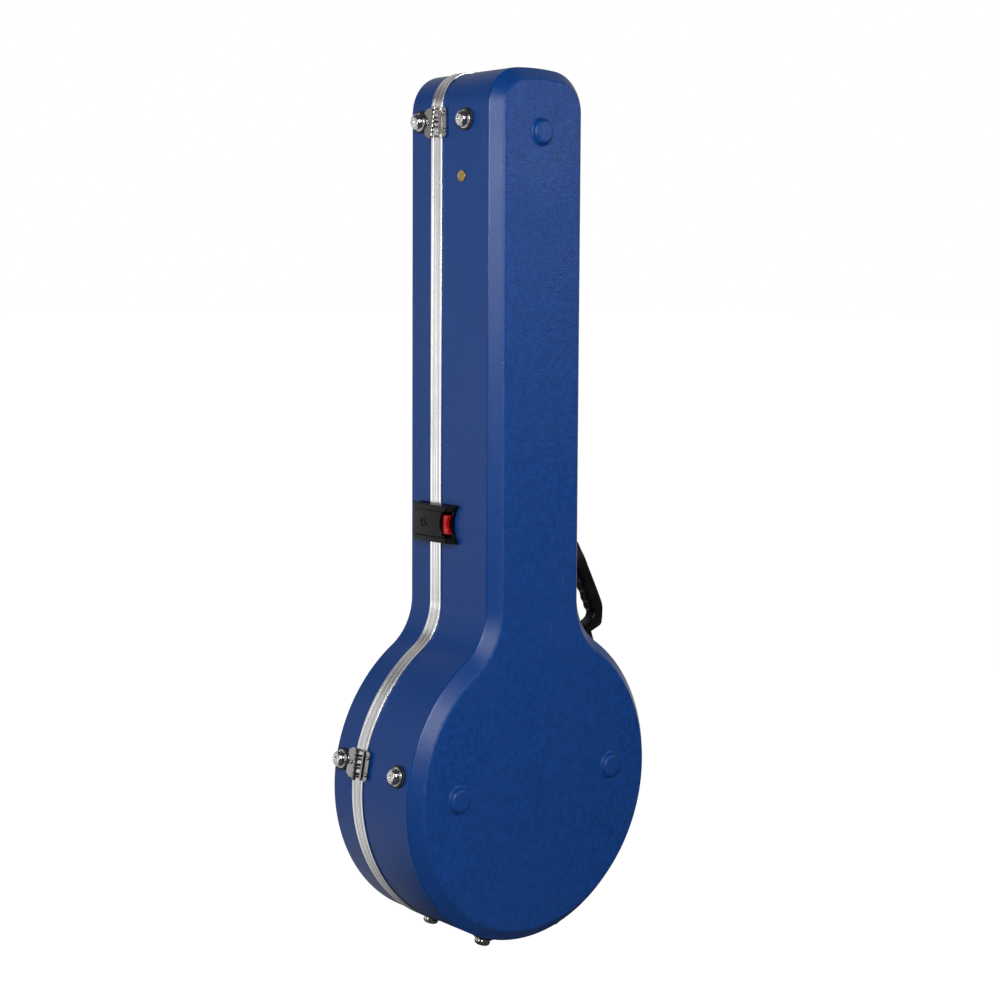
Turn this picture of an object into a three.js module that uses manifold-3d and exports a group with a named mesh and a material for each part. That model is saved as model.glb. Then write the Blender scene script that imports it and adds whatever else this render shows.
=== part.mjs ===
// Moulded banjo case with metal edge strips, two hinges, four trigger latches, a handle and eight feet.
// Millimetres, +Z up along the case, lid towards -Y, deep back shell towards +Y, hinge side towards +X.
import * as THREE from 'three';
import { mergeGeometries, mergeVertices } from 'three/addons/utils/BufferGeometryUtils.js';
import Module from 'manifold-3d';

const wasm = await Module();
wasm.setup();

// Casing outline, seen from the back: a round body and a straight neck with a slightly domed top
const shell_length = 1050;
const body_radius = 192.8;
const neck_width = 148;
const top_corner_radius = 47.5;
const crown_rise = 8.3;
const shoulder_radius = 69;

// Casing depths, measured from the seam between the two halves
const lid_wall_edge = 47.7;
const back_wall_edge = 92.6;
const edge_chamfer = 15;
const edge_softness = 3.6;
const shell_thickness = 3;

// Facets along half of the outline
const body_facets = 18;
const shoulder_facets = 5;
const corner_facets = 6;
const crown_facets = 2;
const round_facets = 12;
const small_round_facets = 10;

// General fits
const fit_gap = 0.3;
const overrun = 5;
const plate_gap = 1.2;

const valance = {
  sheet: 1.2,
  web: 1.5,
  outer_depth: 10,
  inner_depth: 8,
  seam_gap: 0.15,
  tongue_depth: 1.85,
  tongue_outer: 1.2,
  tongue_inner: 2.4,
  groove_outer: 0.7,
  groove_inner: 2.9,
  groove_depth: 2.6,
};

const boss = { base_radius: 15.2, shoulder_radius: 12.8, face_radius: 10.2, shoulder_height: 4.4, height: 7 };
const boss_edge_inset = 69.8;
const boss_low_rise = 4;
const boss_side_shift = 4.2;
const boss_below_top = 75.5;

const foot = {
  washer_radius: 13.4,
  washer_edge_radius: 12,
  washer_height: 2.4,
  flange_radius: 11,
  flange_height: 1,
  neck_radius: 9.6,
  neck_height: 2,
  button_radius: 9.5,
  button_height: 4.2,
  dome_radius: 8.1,
  dome_height: 7.2,
  face_radius: 5.2,
  face_height: 8.8,
  recess_radius: 2.8,
  recess_depth: 1.5,
  screw_radius: 2.5,
  head_radius: 4,
  head_height: 1.4,
};
const side_lid_foot_depth = -33.6;
const upper_lid_foot_depth = -30.6;
const end_lid_foot_depth = -28;
const upper_lid_foot_below_top = 59.8;
const upper_foot_below_top = 61.4;
const upper_back_foot_depth = 53.2;
const side_foot_angle = 10.6;
const side_back_foot_depth = 72.8;
const end_foot_angle = 17;
const end_back_foot_depth = 71;

const badge = { radius: 6.8, face_radius: 5.8, rim: 1.1, face: 0.8, below_top: 127.4, depth: 46.2 };

const hinge = {
  pin_height: 7.2,
  pin_radius: 1.2,
  pin_head_radius: 2,
  pin_head: 0.9,
  knuckle_radius: 2.6,
  knuckle_length: 2.9,
  arm_root: 1.56,
  length: 35,
  plate_low: 1.9,
  plate: 1.2,
  leaf_start: 6.6,
  arm_reach: 8.4,
  lid_leaf_end: 20.6,
  lid_leaf_chamfer: 6,
  lid_leaf_corner: 4,
  back_leaf_end: 19.4,
  back_leaf_corner: 2.4,
  rail_start: 7.2,
  rail_end: 10.2,
  rail_height: 1.6,
  slot_start: 10.5,
  slot_end: 13,
  slot_length: 27.4,
  lid_rivet_depth: 14,
  back_rivet_depth: 16.2,
  back_rivet_spacing: 20,
  rivet_head_radius: 2.6,
  rivet_face_radius: 1.4,
  rivet_head: 1.3,
  rivet_radius: 1.4,
  backing_plate: 1,
  backing_radius: 4,
  backing_margin: 3.6,
};
const hinge_knuckles = 7;
const upper_hinge_below_top = 62.5;
const lower_hinge_lift = 6.7;

const latch = {
  width: 45.2,
  front: 36,
  front_rise: 7.4,
  front_top: 11.4,
  front_slope: 4.6,
  crest: 12.8,
  crest_depth: -6,
  rail_end_height: 11.2,
  underside: 2.4,
  rail_reach: 30.3,
  cover_reach: 20.6,
  cover_side_reach: 26,
  rail_width: 6.3,
  cover_drop: 0.7,
  cover_thickness: 1.8,
  cover_gap: 0.8,
  cover_groove: 1,
  cover_edge: 0.7,
  heel_depth: -31.5,
  heel_height: 6,
  pivot_depth: -30.4,
  pivot_height: 6.4,
  barrel_radius: 2.6,
  pin_radius: 1.2,
  sweep_gap: 0.6,
  ring_depth: -10,
  ring_outer: 6.6,
  ring_inner: 5.2,
  ring_height: 0.5,
  plug_radius: 2.6,
  hook_start: 13,
  hook_end: 17,
  hook_width: 14,
  hook_drop: 2.4,
};
const latch_base = { start: -31.2, plate: 1.9, ear_inset: 1, ear_width: 4, ear_end: -28.2, ear_radius: 2.2 };
const keeper = {
  start: 12.4,
  rail_start: 31.5,
  rail_height: 11,
  end: 42.6,
  end_middle: 34.8,
  end_height: 5.4,
  floor: 2.2,
  end_wall: 1.7,
  end_wall_height: 4,
  flange: 1.2,
  flange_height: 1,
};
const trigger = {
  width: 22,
  start: 18,
  low: 2.6,
  start_height: 5.4,
  shoulder_depth: 23,
  shoulder: 8.3,
  crest_depth: 26.6,
  crest: 9.2,
  rim_depth: 30.2,
  rim_side_depth: 36.4,
  rim_height: 7.6,
  rim_thickness: 2.8,
  undercut_depth: 26,
};
const hinge_side_latch_rise = 96.2;
const middle_latch_rise = 184;
const upper_latch_below_top = 145;
const body_latch_angle = 171.5;

const handle = {
  seat_angle: 132.6,
  seat_rise: 72.3,
  depth: 51,
  half_length: 61,
  pivot_rise: 6,
  width: 20,
  end_width: 14,
  pin_radius: 2.6,
  pin_length: 6,
  foot_rise: 1,
  end_bevel: 2.2,
};
// Grip outline, along the handle and away from the case, as shares of its half length
const grip_outer_shares = [
  [-1, 0.46], [-0.99, 0.53], [-0.83, 0.615], [-0.65, 0.66], [-0.5, 0.663], [-0.2, 0.635],
  [0.35, 0.57], [0.93, 0.51], [0.985, 0.48], [1, 0.42],
];
const grip_inner_shares = [
  [0.72, 0.15], [0.6, 0.24], [0.44, 0.245], [0.34, 0.275], [0.18, 0.27], [0.08, 0.3],
  [-0.08, 0.295], [-0.18, 0.33], [-0.34, 0.315], [-0.42, 0.345], [-0.54, 0.33], [-0.62, 0.365],
  [-0.67, 0.35], [-0.74, 0.275], [-0.77, 0.15],
];
const grip_side_shares = [[-1, 0.35], [-0.86, 0.35], [-0.6, 0.5], [0.6, 0.5], [0.86, 0.35], [1, 0.35]];
const bracket = { length: 15, half_width: 9, top: 12.4, deep: 16, corner: 4 };

const liner = {
  inset: 6,
  rim: 8.4,
  well_wall: 12.6,
  well_floor: 11.8,
  channel_wall: 7,
  channel_floor: 48,
  channel_end: 44,
  channel_corner: 24,
  head_depth: 16,
  head_length: 116,
  head_end: 50,
  head_inset: 9,
  head_corner: 20,
  lid_wall: 8,
  lid_floor: 10,
  joint_rise: 6,
};
const cradle = { below_top: 214, length: 46, side_gap: 1, height: 29.7, notch_radius: 27, notch_depth: 24 };
const pocket = {
  hinge_rise: 176,
  length: 80,
  side_inset: 7,
  ledge: 4,
  floor: 8.8,
  lid_thickness: 4,
  tab_width: 22,
  tab_length: 12,
  tab_reach: 5,
  tab_thickness: 1.6,
};

const half_neck = neck_width / 2;
const boss_offset = body_radius - boss_edge_inset;
const lid_face = lid_wall_edge + edge_chamfer;
const back_face = back_wall_edge + edge_chamfer;
const valance_face = fit_gap + valance.sheet;
const back_shell_start = valance.seam_gap + valance.web + fit_gap;
const lid_shell_start = valance.seam_gap + valance.groove_depth + valance.sheet + fit_gap;
const chamfer_bevel = Math.tan(Math.PI / 8);

// Solid work on closed geometries
function outward(geometry) {
  const bare = geometry.clone();
  bare.deleteAttribute('normal');
  bare.deleteAttribute('uv');
  const merged = mergeVertices(bare);
  const place = merged.attributes.position;
  const order = Array.from(merged.index.array);
  const corners = [new THREE.Vector3(), new THREE.Vector3(), new THREE.Vector3()];
  const kept = [];
  let volume = 0;
  for (let i = 0; i < order.length; i += 3) {
    const [a, b, c] = order.slice(i, i + 3);
    if (a === b || b === c || c === a) continue;
    kept.push(a, b, c);
    corners.forEach((corner, k) => corner.fromBufferAttribute(place, order[i + k]));
    volume += corners[0].dot(corners[1].cross(corners[2]));
  }
  if (volume < 0) {
    for (let i = 0; i < kept.length; i += 3) {
      [kept[i + 1], kept[i + 2]] = [kept[i + 2], kept[i + 1]];
    }
  }
  merged.setIndex(kept);
  return merged;
}

function solid(geometry) {
  const closed = outward(geometry);
  return new wasm.Manifold(new wasm.Mesh({
    numProp: 3,
    vertProperties: Float32Array.from(closed.attributes.position.array),
    triVerts: Uint32Array.from(closed.index.array),
  }));
}

function surface(result) {
  const mesh = result.getMesh();
  const geometry = new THREE.BufferGeometry();
  geometry.setAttribute('position', new THREE.BufferAttribute(Float32Array.from(mesh.vertProperties), 3));
  geometry.setIndex(Array.from(mesh.triVerts));
  return geometry;
}

function join(...geometries) {
  return surface(geometries.map(solid).reduce((sum, next) => sum.add(next)));
}

function cut(body, ...tools) {
  return surface(tools.map(solid).reduce((sum, next) => sum.subtract(next), solid(body)));
}

function common(a, b) {
  return surface(solid(a).intersect(solid(b)));
}

// Basic shapes
function block(x0, x1, y0, y1, z0, z1) {
  const box = new THREE.BoxGeometry(x1 - x0, y1 - y0, z1 - z0);
  return box.translate((x0 + x1) / 2, (y0 + y1) / 2, (z0 + z1) / 2);
}

function extruded(points, low, high) {
  const shape = new THREE.Shape(points.map(([x, y]) => new THREE.Vector2(x, y)));
  const body = new THREE.ExtrudeGeometry(shape, { depth: high - low, bevelEnabled: false });
  return body.translate(0, 0, low);
}

// A prism along Y from points in X and Z
function extruded_in_depth(points, near, far) {
  return extruded(points, 0, far - near).rotateX(Math.PI / 2).translate(0, far, 0);
}

function rod(radius, low, high, facets = round_facets) {
  const cylinder = new THREE.CylinderGeometry(radius, radius, high - low, facets);
  return cylinder.rotateX(Math.PI / 2).translate(0, 0, (low + high) / 2);
}

// A turned piece on the local X axis from radius and height pairs
function turned(profile, facets = round_facets) {
  const points = profile.map(([radius, height]) => new THREE.Vector2(radius, height));
  return outward(new THREE.LatheGeometry(points, facets).rotateZ(-Math.PI / 2));
}

// Outline of the casing, drawn in by an inset
function arc(centre_x, centre_z, radius, start, end, facets) {
  return Array.from({ length: facets }, (_, i) => {
    const angle = start + (end - start) * i / facets;
    return [centre_x + radius * Math.cos(angle), centre_z + radius * Math.sin(angle)];
  });
}

const shoulder_x = half_neck + shoulder_radius;
const shoulder_z = body_radius + Math.sqrt((body_radius + shoulder_radius) ** 2 - shoulder_x ** 2);
const shoulder_angle = Math.atan2(shoulder_z - body_radius, shoulder_x);
const crown_radius = (half_neck ** 2 + crown_rise ** 2) / (2 * crown_rise);
const crown_z = shell_length - crown_radius;
const corner_x = half_neck - top_corner_radius;
const corner_z = crown_z + Math.sqrt((crown_radius - top_corner_radius) ** 2 - corner_x ** 2);
const crown_angle = Math.atan2(corner_z - crown_z, corner_x);

function casing_outline(inset) {
  const quarter = Math.PI / 2;
  const shoulder_start = Math.PI + shoulder_angle;
  const half = [
    ...arc(0, body_radius, body_radius - inset, -quarter, shoulder_angle, body_facets),
    ...arc(shoulder_x, shoulder_z, shoulder_radius + inset, shoulder_start, Math.PI, shoulder_facets),
    [half_neck - inset, shoulder_z],
    ...arc(corner_x, corner_z, top_corner_radius - inset, 0, crown_angle, corner_facets),
    ...arc(0, crown_z, crown_radius - inset, crown_angle, quarter, crown_facets),
  ];
  const top = [0, shell_length - inset];
  const mirrored = half.slice(1).reverse().map(([x, z]) => [-x, z]);
  return [...half, top, ...mirrored];
}

function cap(outline, depth, facing) {
  const contour = outline.map(([x, z]) => new THREE.Vector2(x, z));
  const triangles = THREE.ShapeUtils.triangulateShape(contour, []);
  const positions = [];
  for (const triangle of triangles) {
    const corners = triangle.map((i) => contour[i]);
    const turn = (corners[1].clone().sub(corners[0])).cross(corners[2].clone().sub(corners[0]));
    if (turn * facing > 0) corners.reverse();
    corners.forEach((corner) => positions.push(corner.x, depth, corner.y));
  }
  return positions;
}

function band(outline_a, depth_a, outline_b, depth_b) {
  const positions = [];
  outline_a.forEach((point, i) => {
    const j = (i + 1) % outline_a.length;
    const corners = [
      [...point, depth_a], [...outline_a[j], depth_a], [...outline_b[j], depth_b],
      [...point, depth_a], [...outline_b[j], depth_b], [...outline_b[i], depth_b],
    ];
    corners.forEach(([x, z, depth]) => positions.push(x, depth, z));
  });
  return positions;
}

function loose_surface(positions) {
  const geometry = new THREE.BufferGeometry();
  geometry.setAttribute('position', new THREE.Float32BufferAttribute(positions, 3));
  return outward(geometry);
}

// A solid through rings of the outline: pairs of depth and inset, from the front to the back
function loft(rings) {
  const outlines = rings.map(([, inset]) => casing_outline(inset));
  const positions = [];
  for (let k = 0; k + 1 < rings.length; k += 1) {
    positions.push(...band(outlines[k], rings[k][0], outlines[k + 1], rings[k + 1][0]));
  }
  const last = rings.length - 1;
  positions.push(...cap(outlines[0], rings[0][0], 1), ...cap(outlines[last], rings[last][0], -1));
  return loose_surface(positions);
}

// A closed profile of height above the shell and depth, carried round the outline
function edge_strip(profile) {
  const outlines = profile.map(([height]) => casing_outline(-height));
  const positions = [];
  profile.forEach((point, k) => {
    const next = (k + 1) % profile.length;
    positions.push(...band(outlines[k], point[1], outlines[next], profile[next][1]));
  });
  return loose_surface(positions);
}

// Places on the wall of the casing: the point and the angle of the outward normal
function neck_place(height, side) {
  return { x: side * half_neck, z: height, angle: side > 0 ? 0 : Math.PI };
}

function body_place(degrees) {
  const angle = THREE.MathUtils.degToRad(degrees);
  return { x: body_radius * Math.cos(angle), z: body_radius * (1 + Math.sin(angle)), angle };
}

// A group whose X points out of the wall, Y towards the back shell and Z along the wall
function wall_group(place, depth = 0) {
  const group = new THREE.Group();
  group.position.set(place.x, depth, place.z);
  group.rotation.y = -place.angle;
  group.updateMatrixWorld(true);
  return group;
}

const strip_reach = valance.outer_depth + fit_gap;
const strip_inset = -valance_face - fit_gap;
const envelope = join(
  loft([[-lid_face, -fit_gap], [back_face, -fit_gap]]),
  loft([[-strip_reach, strip_inset], [strip_reach, strip_inset]]),
);

// A geometry of a wall group, cut back to lie a fit gap above the casing
function seated(geometry, group) {
  return cut(geometry, envelope.clone().applyMatrix4(group.matrixWorld.clone().invert()));
}

// Finishes
function finish(color, roughness, metalness) {
  return new THREE.MeshStandardMaterial({ color, roughness, metalness });
}

const blue_plastic = finish(0x2b477c, 0.55, 0);
const aluminium = finish(0xcfcfd2, 0.35, 1);
const chrome = finish(0xd8dadd, 0.12, 1);
const hinge_steel = finish(0xb9b7b2, 0.35, 1);
const black_rubber = finish(0x111112, 0.7, 0);
const latch_black = finish(0x232124, 0.5, 0);
const trigger_red = finish(0xb4141c, 0.35, 0);
const handle_black = finish(0x0e0e10, 0.45, 0);
const brass = finish(0xb8945a, 0.4, 1);
const plush = finish(0x2a2b2e, 0.95, 0);
const tab_webbing = finish(0x17181a, 0.9, 0);

const casing = new THREE.Group();

function piece(name, geometry, material, group = casing) {
  const mesh = new THREE.Mesh(outward(geometry), material);
  mesh.name = name;
  group.add(mesh);
  return mesh;
}

// Feet: where each one sits
const upper_foot_place = neck_place(shell_length - upper_foot_below_top, 1);
const upper_lid_foot_place = neck_place(shell_length - upper_lid_foot_below_top, 1);
const side_foot_place = body_place(side_foot_angle);
const hinge_side_end = body_place(end_foot_angle - 90);
const handle_side_end = body_place(-end_foot_angle - 90);
const feet = [
  { name: 'upper_lid', place: upper_lid_foot_place, depth: upper_lid_foot_depth },
  { name: 'upper_back', place: upper_foot_place, depth: upper_back_foot_depth },
  { name: 'side_lid', place: side_foot_place, depth: side_lid_foot_depth },
  { name: 'side_back', place: side_foot_place, depth: side_back_foot_depth },
  { name: 'end_lid_hinge_side', place: hinge_side_end, depth: end_lid_foot_depth },
  { name: 'end_back_hinge_side', place: hinge_side_end, depth: end_back_foot_depth },
  { name: 'end_lid_handle_side', place: handle_side_end, depth: end_lid_foot_depth },
  { name: 'end_back_handle_side', place: handle_side_end, depth: end_back_foot_depth },
];

function make_foot({ name, place, depth }) {
  const group = wall_group(place, depth);
  casing.add(group);
  const inner = -shell_thickness - plate_gap;
  const seat = fit_gap + foot.washer_height + fit_gap;
  const recess = seat + foot.face_height - foot.recess_depth;
  const hole = foot.screw_radius + fit_gap;
  piece(`washer_${name}`, turned([
    [hole, fit_gap], [foot.washer_radius, fit_gap],
    [foot.washer_radius, fit_gap + foot.washer_height / 2],
    [foot.washer_edge_radius, fit_gap + foot.washer_height],
    [hole, fit_gap + foot.washer_height], [hole, fit_gap],
  ]), black_rubber, group);
  piece(`foot_${name}`, turned([
    [0, inner - foot.head_height], [foot.head_radius, inner - foot.head_height],
    [foot.head_radius, inner], [foot.screw_radius, inner],
    [foot.screw_radius, seat], [foot.flange_radius, seat],
    [foot.flange_radius, seat + foot.flange_height], [foot.neck_radius, seat + foot.neck_height],
    [foot.button_radius, seat + foot.button_height], [foot.dome_radius, seat + foot.dome_height],
    [foot.face_radius, seat + foot.face_height],
    [foot.recess_radius, seat + foot.face_height], [foot.recess_radius, recess], [0, recess],
  ]), chrome, group);
}

// Hinges: both pins lie on one slanted line that touches the body circle and the top of the neck
const upper_hinge_height = shell_length - upper_hinge_below_top;
const hinge_reach = Math.hypot(half_neck, upper_hinge_height - body_radius);
const hinge_bearing = Math.atan2(upper_hinge_height - body_radius, half_neck);
const hinge_tilt = hinge_bearing - Math.acos(body_radius / hinge_reach);

function on_hinge_line(x, z, height, along = 0) {
  return {
    x: x + height * Math.cos(hinge_tilt) - along * Math.sin(hinge_tilt),
    z: z + height * Math.sin(hinge_tilt) + along * Math.cos(hinge_tilt),
    angle: hinge_tilt,
  };
}

const tangent_place = body_place(THREE.MathUtils.radToDeg(hinge_tilt));
const hinges = [
  { name: 'upper', pin: on_hinge_line(half_neck, upper_hinge_height, hinge.pin_height), wall_angle: 0 },
  {
    name: 'lower',
    pin: on_hinge_line(tangent_place.x, tangent_place.z, hinge.pin_height, lower_hinge_lift),
    wall_angle: hinge_tilt + lower_hinge_lift / body_radius,
  },
];

// Turns a geometry drawn on the wall under the pin into the pin's own frame
function under_pin(geometry, wall_angle) {
  return geometry.rotateY(hinge_tilt - wall_angle).translate(-hinge.pin_height, 0, 0);
}

function hinge_arm(side, low, high, wall_angle) {
  const middle = (low + high) / 2;
  const plate_top = hinge.plate_low + hinge.plate - hinge.pin_height;
  const seat = plate_top - middle * Math.tan(wall_angle - hinge_tilt);
  const r = hinge.knuckle_radius;
  const root = hinge.arm_root;
  const arm = extruded([
    [root, 0], [-root, 0], [seat - hinge.plate, side * hinge.leaf_start],
    [seat - hinge.plate, side * hinge.arm_reach], [seat, side * hinge.arm_reach],
  ], low, high);
  const bore = rod(hinge.pin_radius + fit_gap, low - overrun, high + overrun, small_round_facets);
  return cut(join(rod(r, low, high, small_round_facets), arm), bore);
}

function hinge_leaf(side, wall_angle, plate_geometry) {
  const pitch = (hinge.length - hinge.knuckle_length) / (hinge_knuckles - 1);
  const arms = [];
  for (let i = side < 0 ? 0 : 1; i < hinge_knuckles; i += 2) {
    const low = -hinge.length / 2 + i * pitch;
    arms.push(hinge_arm(side, low, low + hinge.knuckle_length, wall_angle));
  }
  return join(under_pin(plate_geometry, wall_angle), ...arms);
}

function lid_leaf_plate() {
  const h = hinge.length / 2;
  const outline = [
    [-hinge.leaf_start, -h], [-hinge.leaf_start, h], [-hinge.lid_leaf_end + hinge.lid_leaf_chamfer, h],
    [-hinge.lid_leaf_end, h - hinge.lid_leaf_corner], [-hinge.lid_leaf_end, hinge.lid_leaf_corner - h],
    [-hinge.lid_leaf_end + hinge.lid_leaf_chamfer, -h],
  ];
  return upright_plate(outline, hinge.plate_low, hinge.plate_low + hinge.plate);
}

// A plate standing on the wall from points in depth and height
function upright_plate(outline, low, high) {
  const lying = extruded(outline, low, high);
  return lying.applyMatrix4(new THREE.Matrix4().set(0, 0, 1, 0, 1, 0, 0, 0, 0, 1, 0, 0, 0, 0, 0, 1));
}

function back_leaf_plate() {
  const h = hinge.length / 2;
  const c = hinge.back_leaf_corner;
  const outline = [
    [hinge.leaf_start, -h], [hinge.back_leaf_end - c, -h], [hinge.back_leaf_end, c - h],
    [hinge.back_leaf_end, h - c], [hinge.back_leaf_end - c, h], [hinge.leaf_start, h],
  ];
  const top = hinge.plate_low + hinge.plate;
  const plate = upright_plate(outline, hinge.plate_low, top);
  const rail = block(hinge.plate_low, top + hinge.rail_height, hinge.rail_start, hinge.rail_end, -h, h);
  const slot_half = hinge.slot_length / 2;
  const slot_heights = [hinge.plate_low - overrun, top + overrun];
  const slot = block(...slot_heights, hinge.slot_start, hinge.slot_end, -slot_half, slot_half);
  return cut(join(plate, rail), slot);
}

function rivet_at(depth, height) {
  const top = hinge.plate_low + hinge.plate + fit_gap;
  const inner = -shell_thickness - plate_gap;
  return turned([
    [0, inner - hinge.backing_plate / 2], [hinge.rivet_radius, inner - hinge.backing_plate / 2],
    [hinge.rivet_radius, top], [hinge.rivet_head_radius, top],
    [hinge.rivet_face_radius, top + hinge.rivet_head], [0, top + hinge.rivet_head],
  ], small_round_facets).translate(0, depth, height);
}

function rivet_hole(depth, height) {
  const reach = foot.washer_radius;
  const hole = rod(hinge.rivet_radius + fit_gap, -reach, reach, small_round_facets);
  return hole.rotateY(Math.PI / 2).translate(0, depth, height);
}

const lid_rivet_places = [[-hinge.lid_rivet_depth, 0]];
const back_rivet_places = [-1, 1].map((side) => (
  [hinge.back_rivet_depth, side * hinge.back_rivet_spacing / 2]
));

function make_hinge({ name, pin, wall_angle }) {
  const group = wall_group(pin);
  casing.add(group);
  const holes = (places) => places.map(([depth, height]) => rivet_hole(depth, height));
  const inner = -shell_thickness - plate_gap;
  const to_wall = new THREE.Matrix4().makeTranslation(-hinge.pin_height, 0, 0);
  const plate_turn = new THREE.Matrix4().makeRotationY(hinge_tilt - wall_angle);
  const plate_frame = group.matrixWorld.clone().multiply(to_wall).multiply(plate_turn).invert();
  const washer_room = feet.filter(({ depth }) => depth < 0).map(({ place, depth }) => {
    const room = rod(foot.washer_radius + fit_gap, 0, foot.washer_radius).rotateY(Math.PI / 2);
    return room.applyMatrix4(wall_group(place, depth).matrixWorld).applyMatrix4(plate_frame);
  });
  const lid_plate = cut(lid_leaf_plate(), ...holes(lid_rivet_places), ...washer_room);
  const back_plate = cut(back_leaf_plate(), ...holes(back_rivet_places));
  piece(`hinge_${name}_lid_leaf`, hinge_leaf(-1, wall_angle, lid_plate), hinge_steel, group);
  piece(`hinge_${name}_back_leaf`, hinge_leaf(1, wall_angle, back_plate), hinge_steel, group);

  const h = hinge.length / 2;
  const shank = rod(hinge.pin_radius, -h - fit_gap, h + fit_gap, small_round_facets);
  const heads = [-1, 1].map((side) => {
    const ends = [side * (h + fit_gap), side * (h + fit_gap + hinge.pin_head)];
    return rod(hinge.pin_head_radius, Math.min(...ends), Math.max(...ends), small_round_facets);
  });
  piece(`hinge_${name}_pin`, join(shank, ...heads), hinge_steel, group);

  const disc = turned([
    [0, inner - hinge.backing_plate], [hinge.backing_radius, inner - hinge.backing_plate],
    [hinge.backing_radius, inner], [0, inner],
  ], small_round_facets).translate(0, -hinge.lid_rivet_depth, 0);
  const lid_rivet = join(disc, ...lid_rivet_places.map(([depth, height]) => rivet_at(depth, height)));
  piece(`hinge_${name}_lid_rivet`, under_pin(lid_rivet, wall_angle), hinge_steel, group);

  const reach = hinge.back_rivet_spacing / 2 + hinge.backing_margin;
  const strip = block(
    inner - hinge.backing_plate, inner, hinge.back_rivet_depth - hinge.backing_margin,
    hinge.back_rivet_depth + hinge.backing_margin, -reach, reach,
  );
  const back_rivets = join(strip, ...back_rivet_places.map(([depth, height]) => rivet_at(depth, height)));
  piece(`hinge_${name}_back_rivets`, under_pin(back_rivets, wall_angle), hinge_steel, group);
}

// Holes that the hinge rivets need in the casing
function hinge_holes(places) {
  return hinges.flatMap(({ pin, wall_angle }) => {
    const { matrixWorld } = wall_group(pin);
    const holes = places.map(([depth, height]) => under_pin(rivet_hole(depth, height), wall_angle));
    return holes.map((hole) => hole.applyMatrix4(matrixWorld));
  });
}

// Latches: the lever reaches over the seam, and its underside follows a circle about the hinge line
// so that it lifts clear of the back shell with the lid
const latch_half = latch.width / 2;
const hinge_side_latch_height = shoulder_z + hinge_side_latch_rise;
const latch_top = hinge_side_latch_height + latch_half;
const hinge_line_offset = body_radius + hinge.pin_height
  - half_neck * Math.cos(hinge_tilt) - (latch_top - body_radius) * Math.sin(hinge_tilt);
const sweep_radius = hinge_line_offset - valance_face - latch.sweep_gap;

function sweep_height(depth) {
  return hinge_line_offset - Math.sqrt(sweep_radius ** 2 - depth ** 2);
}

function sweep_points(start, end, drop) {
  const steps = 4;
  return Array.from({ length: steps + 1 }, (_, i) => {
    const depth = start + (end - start) * i / steps;
    return [Math.max(sweep_height(depth) - drop, fit_gap), depth];
  });
}

// Radius of the round cut that leaves an edge hollow by a given depth
function hollow_radius(half_width, sag) {
  return (half_width ** 2 + sag ** 2) / (2 * sag);
}

function lever_profile(drop, underside) {
  const top = [
    [latch.rail_end_height - drop, latch.rail_reach], [latch.crest - drop, latch.crest_depth],
    [latch.front_top - drop, -latch.front + latch.front_slope], [latch.front_rise - drop, -latch.front],
  ];
  return [...underside, ...top];
}

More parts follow.
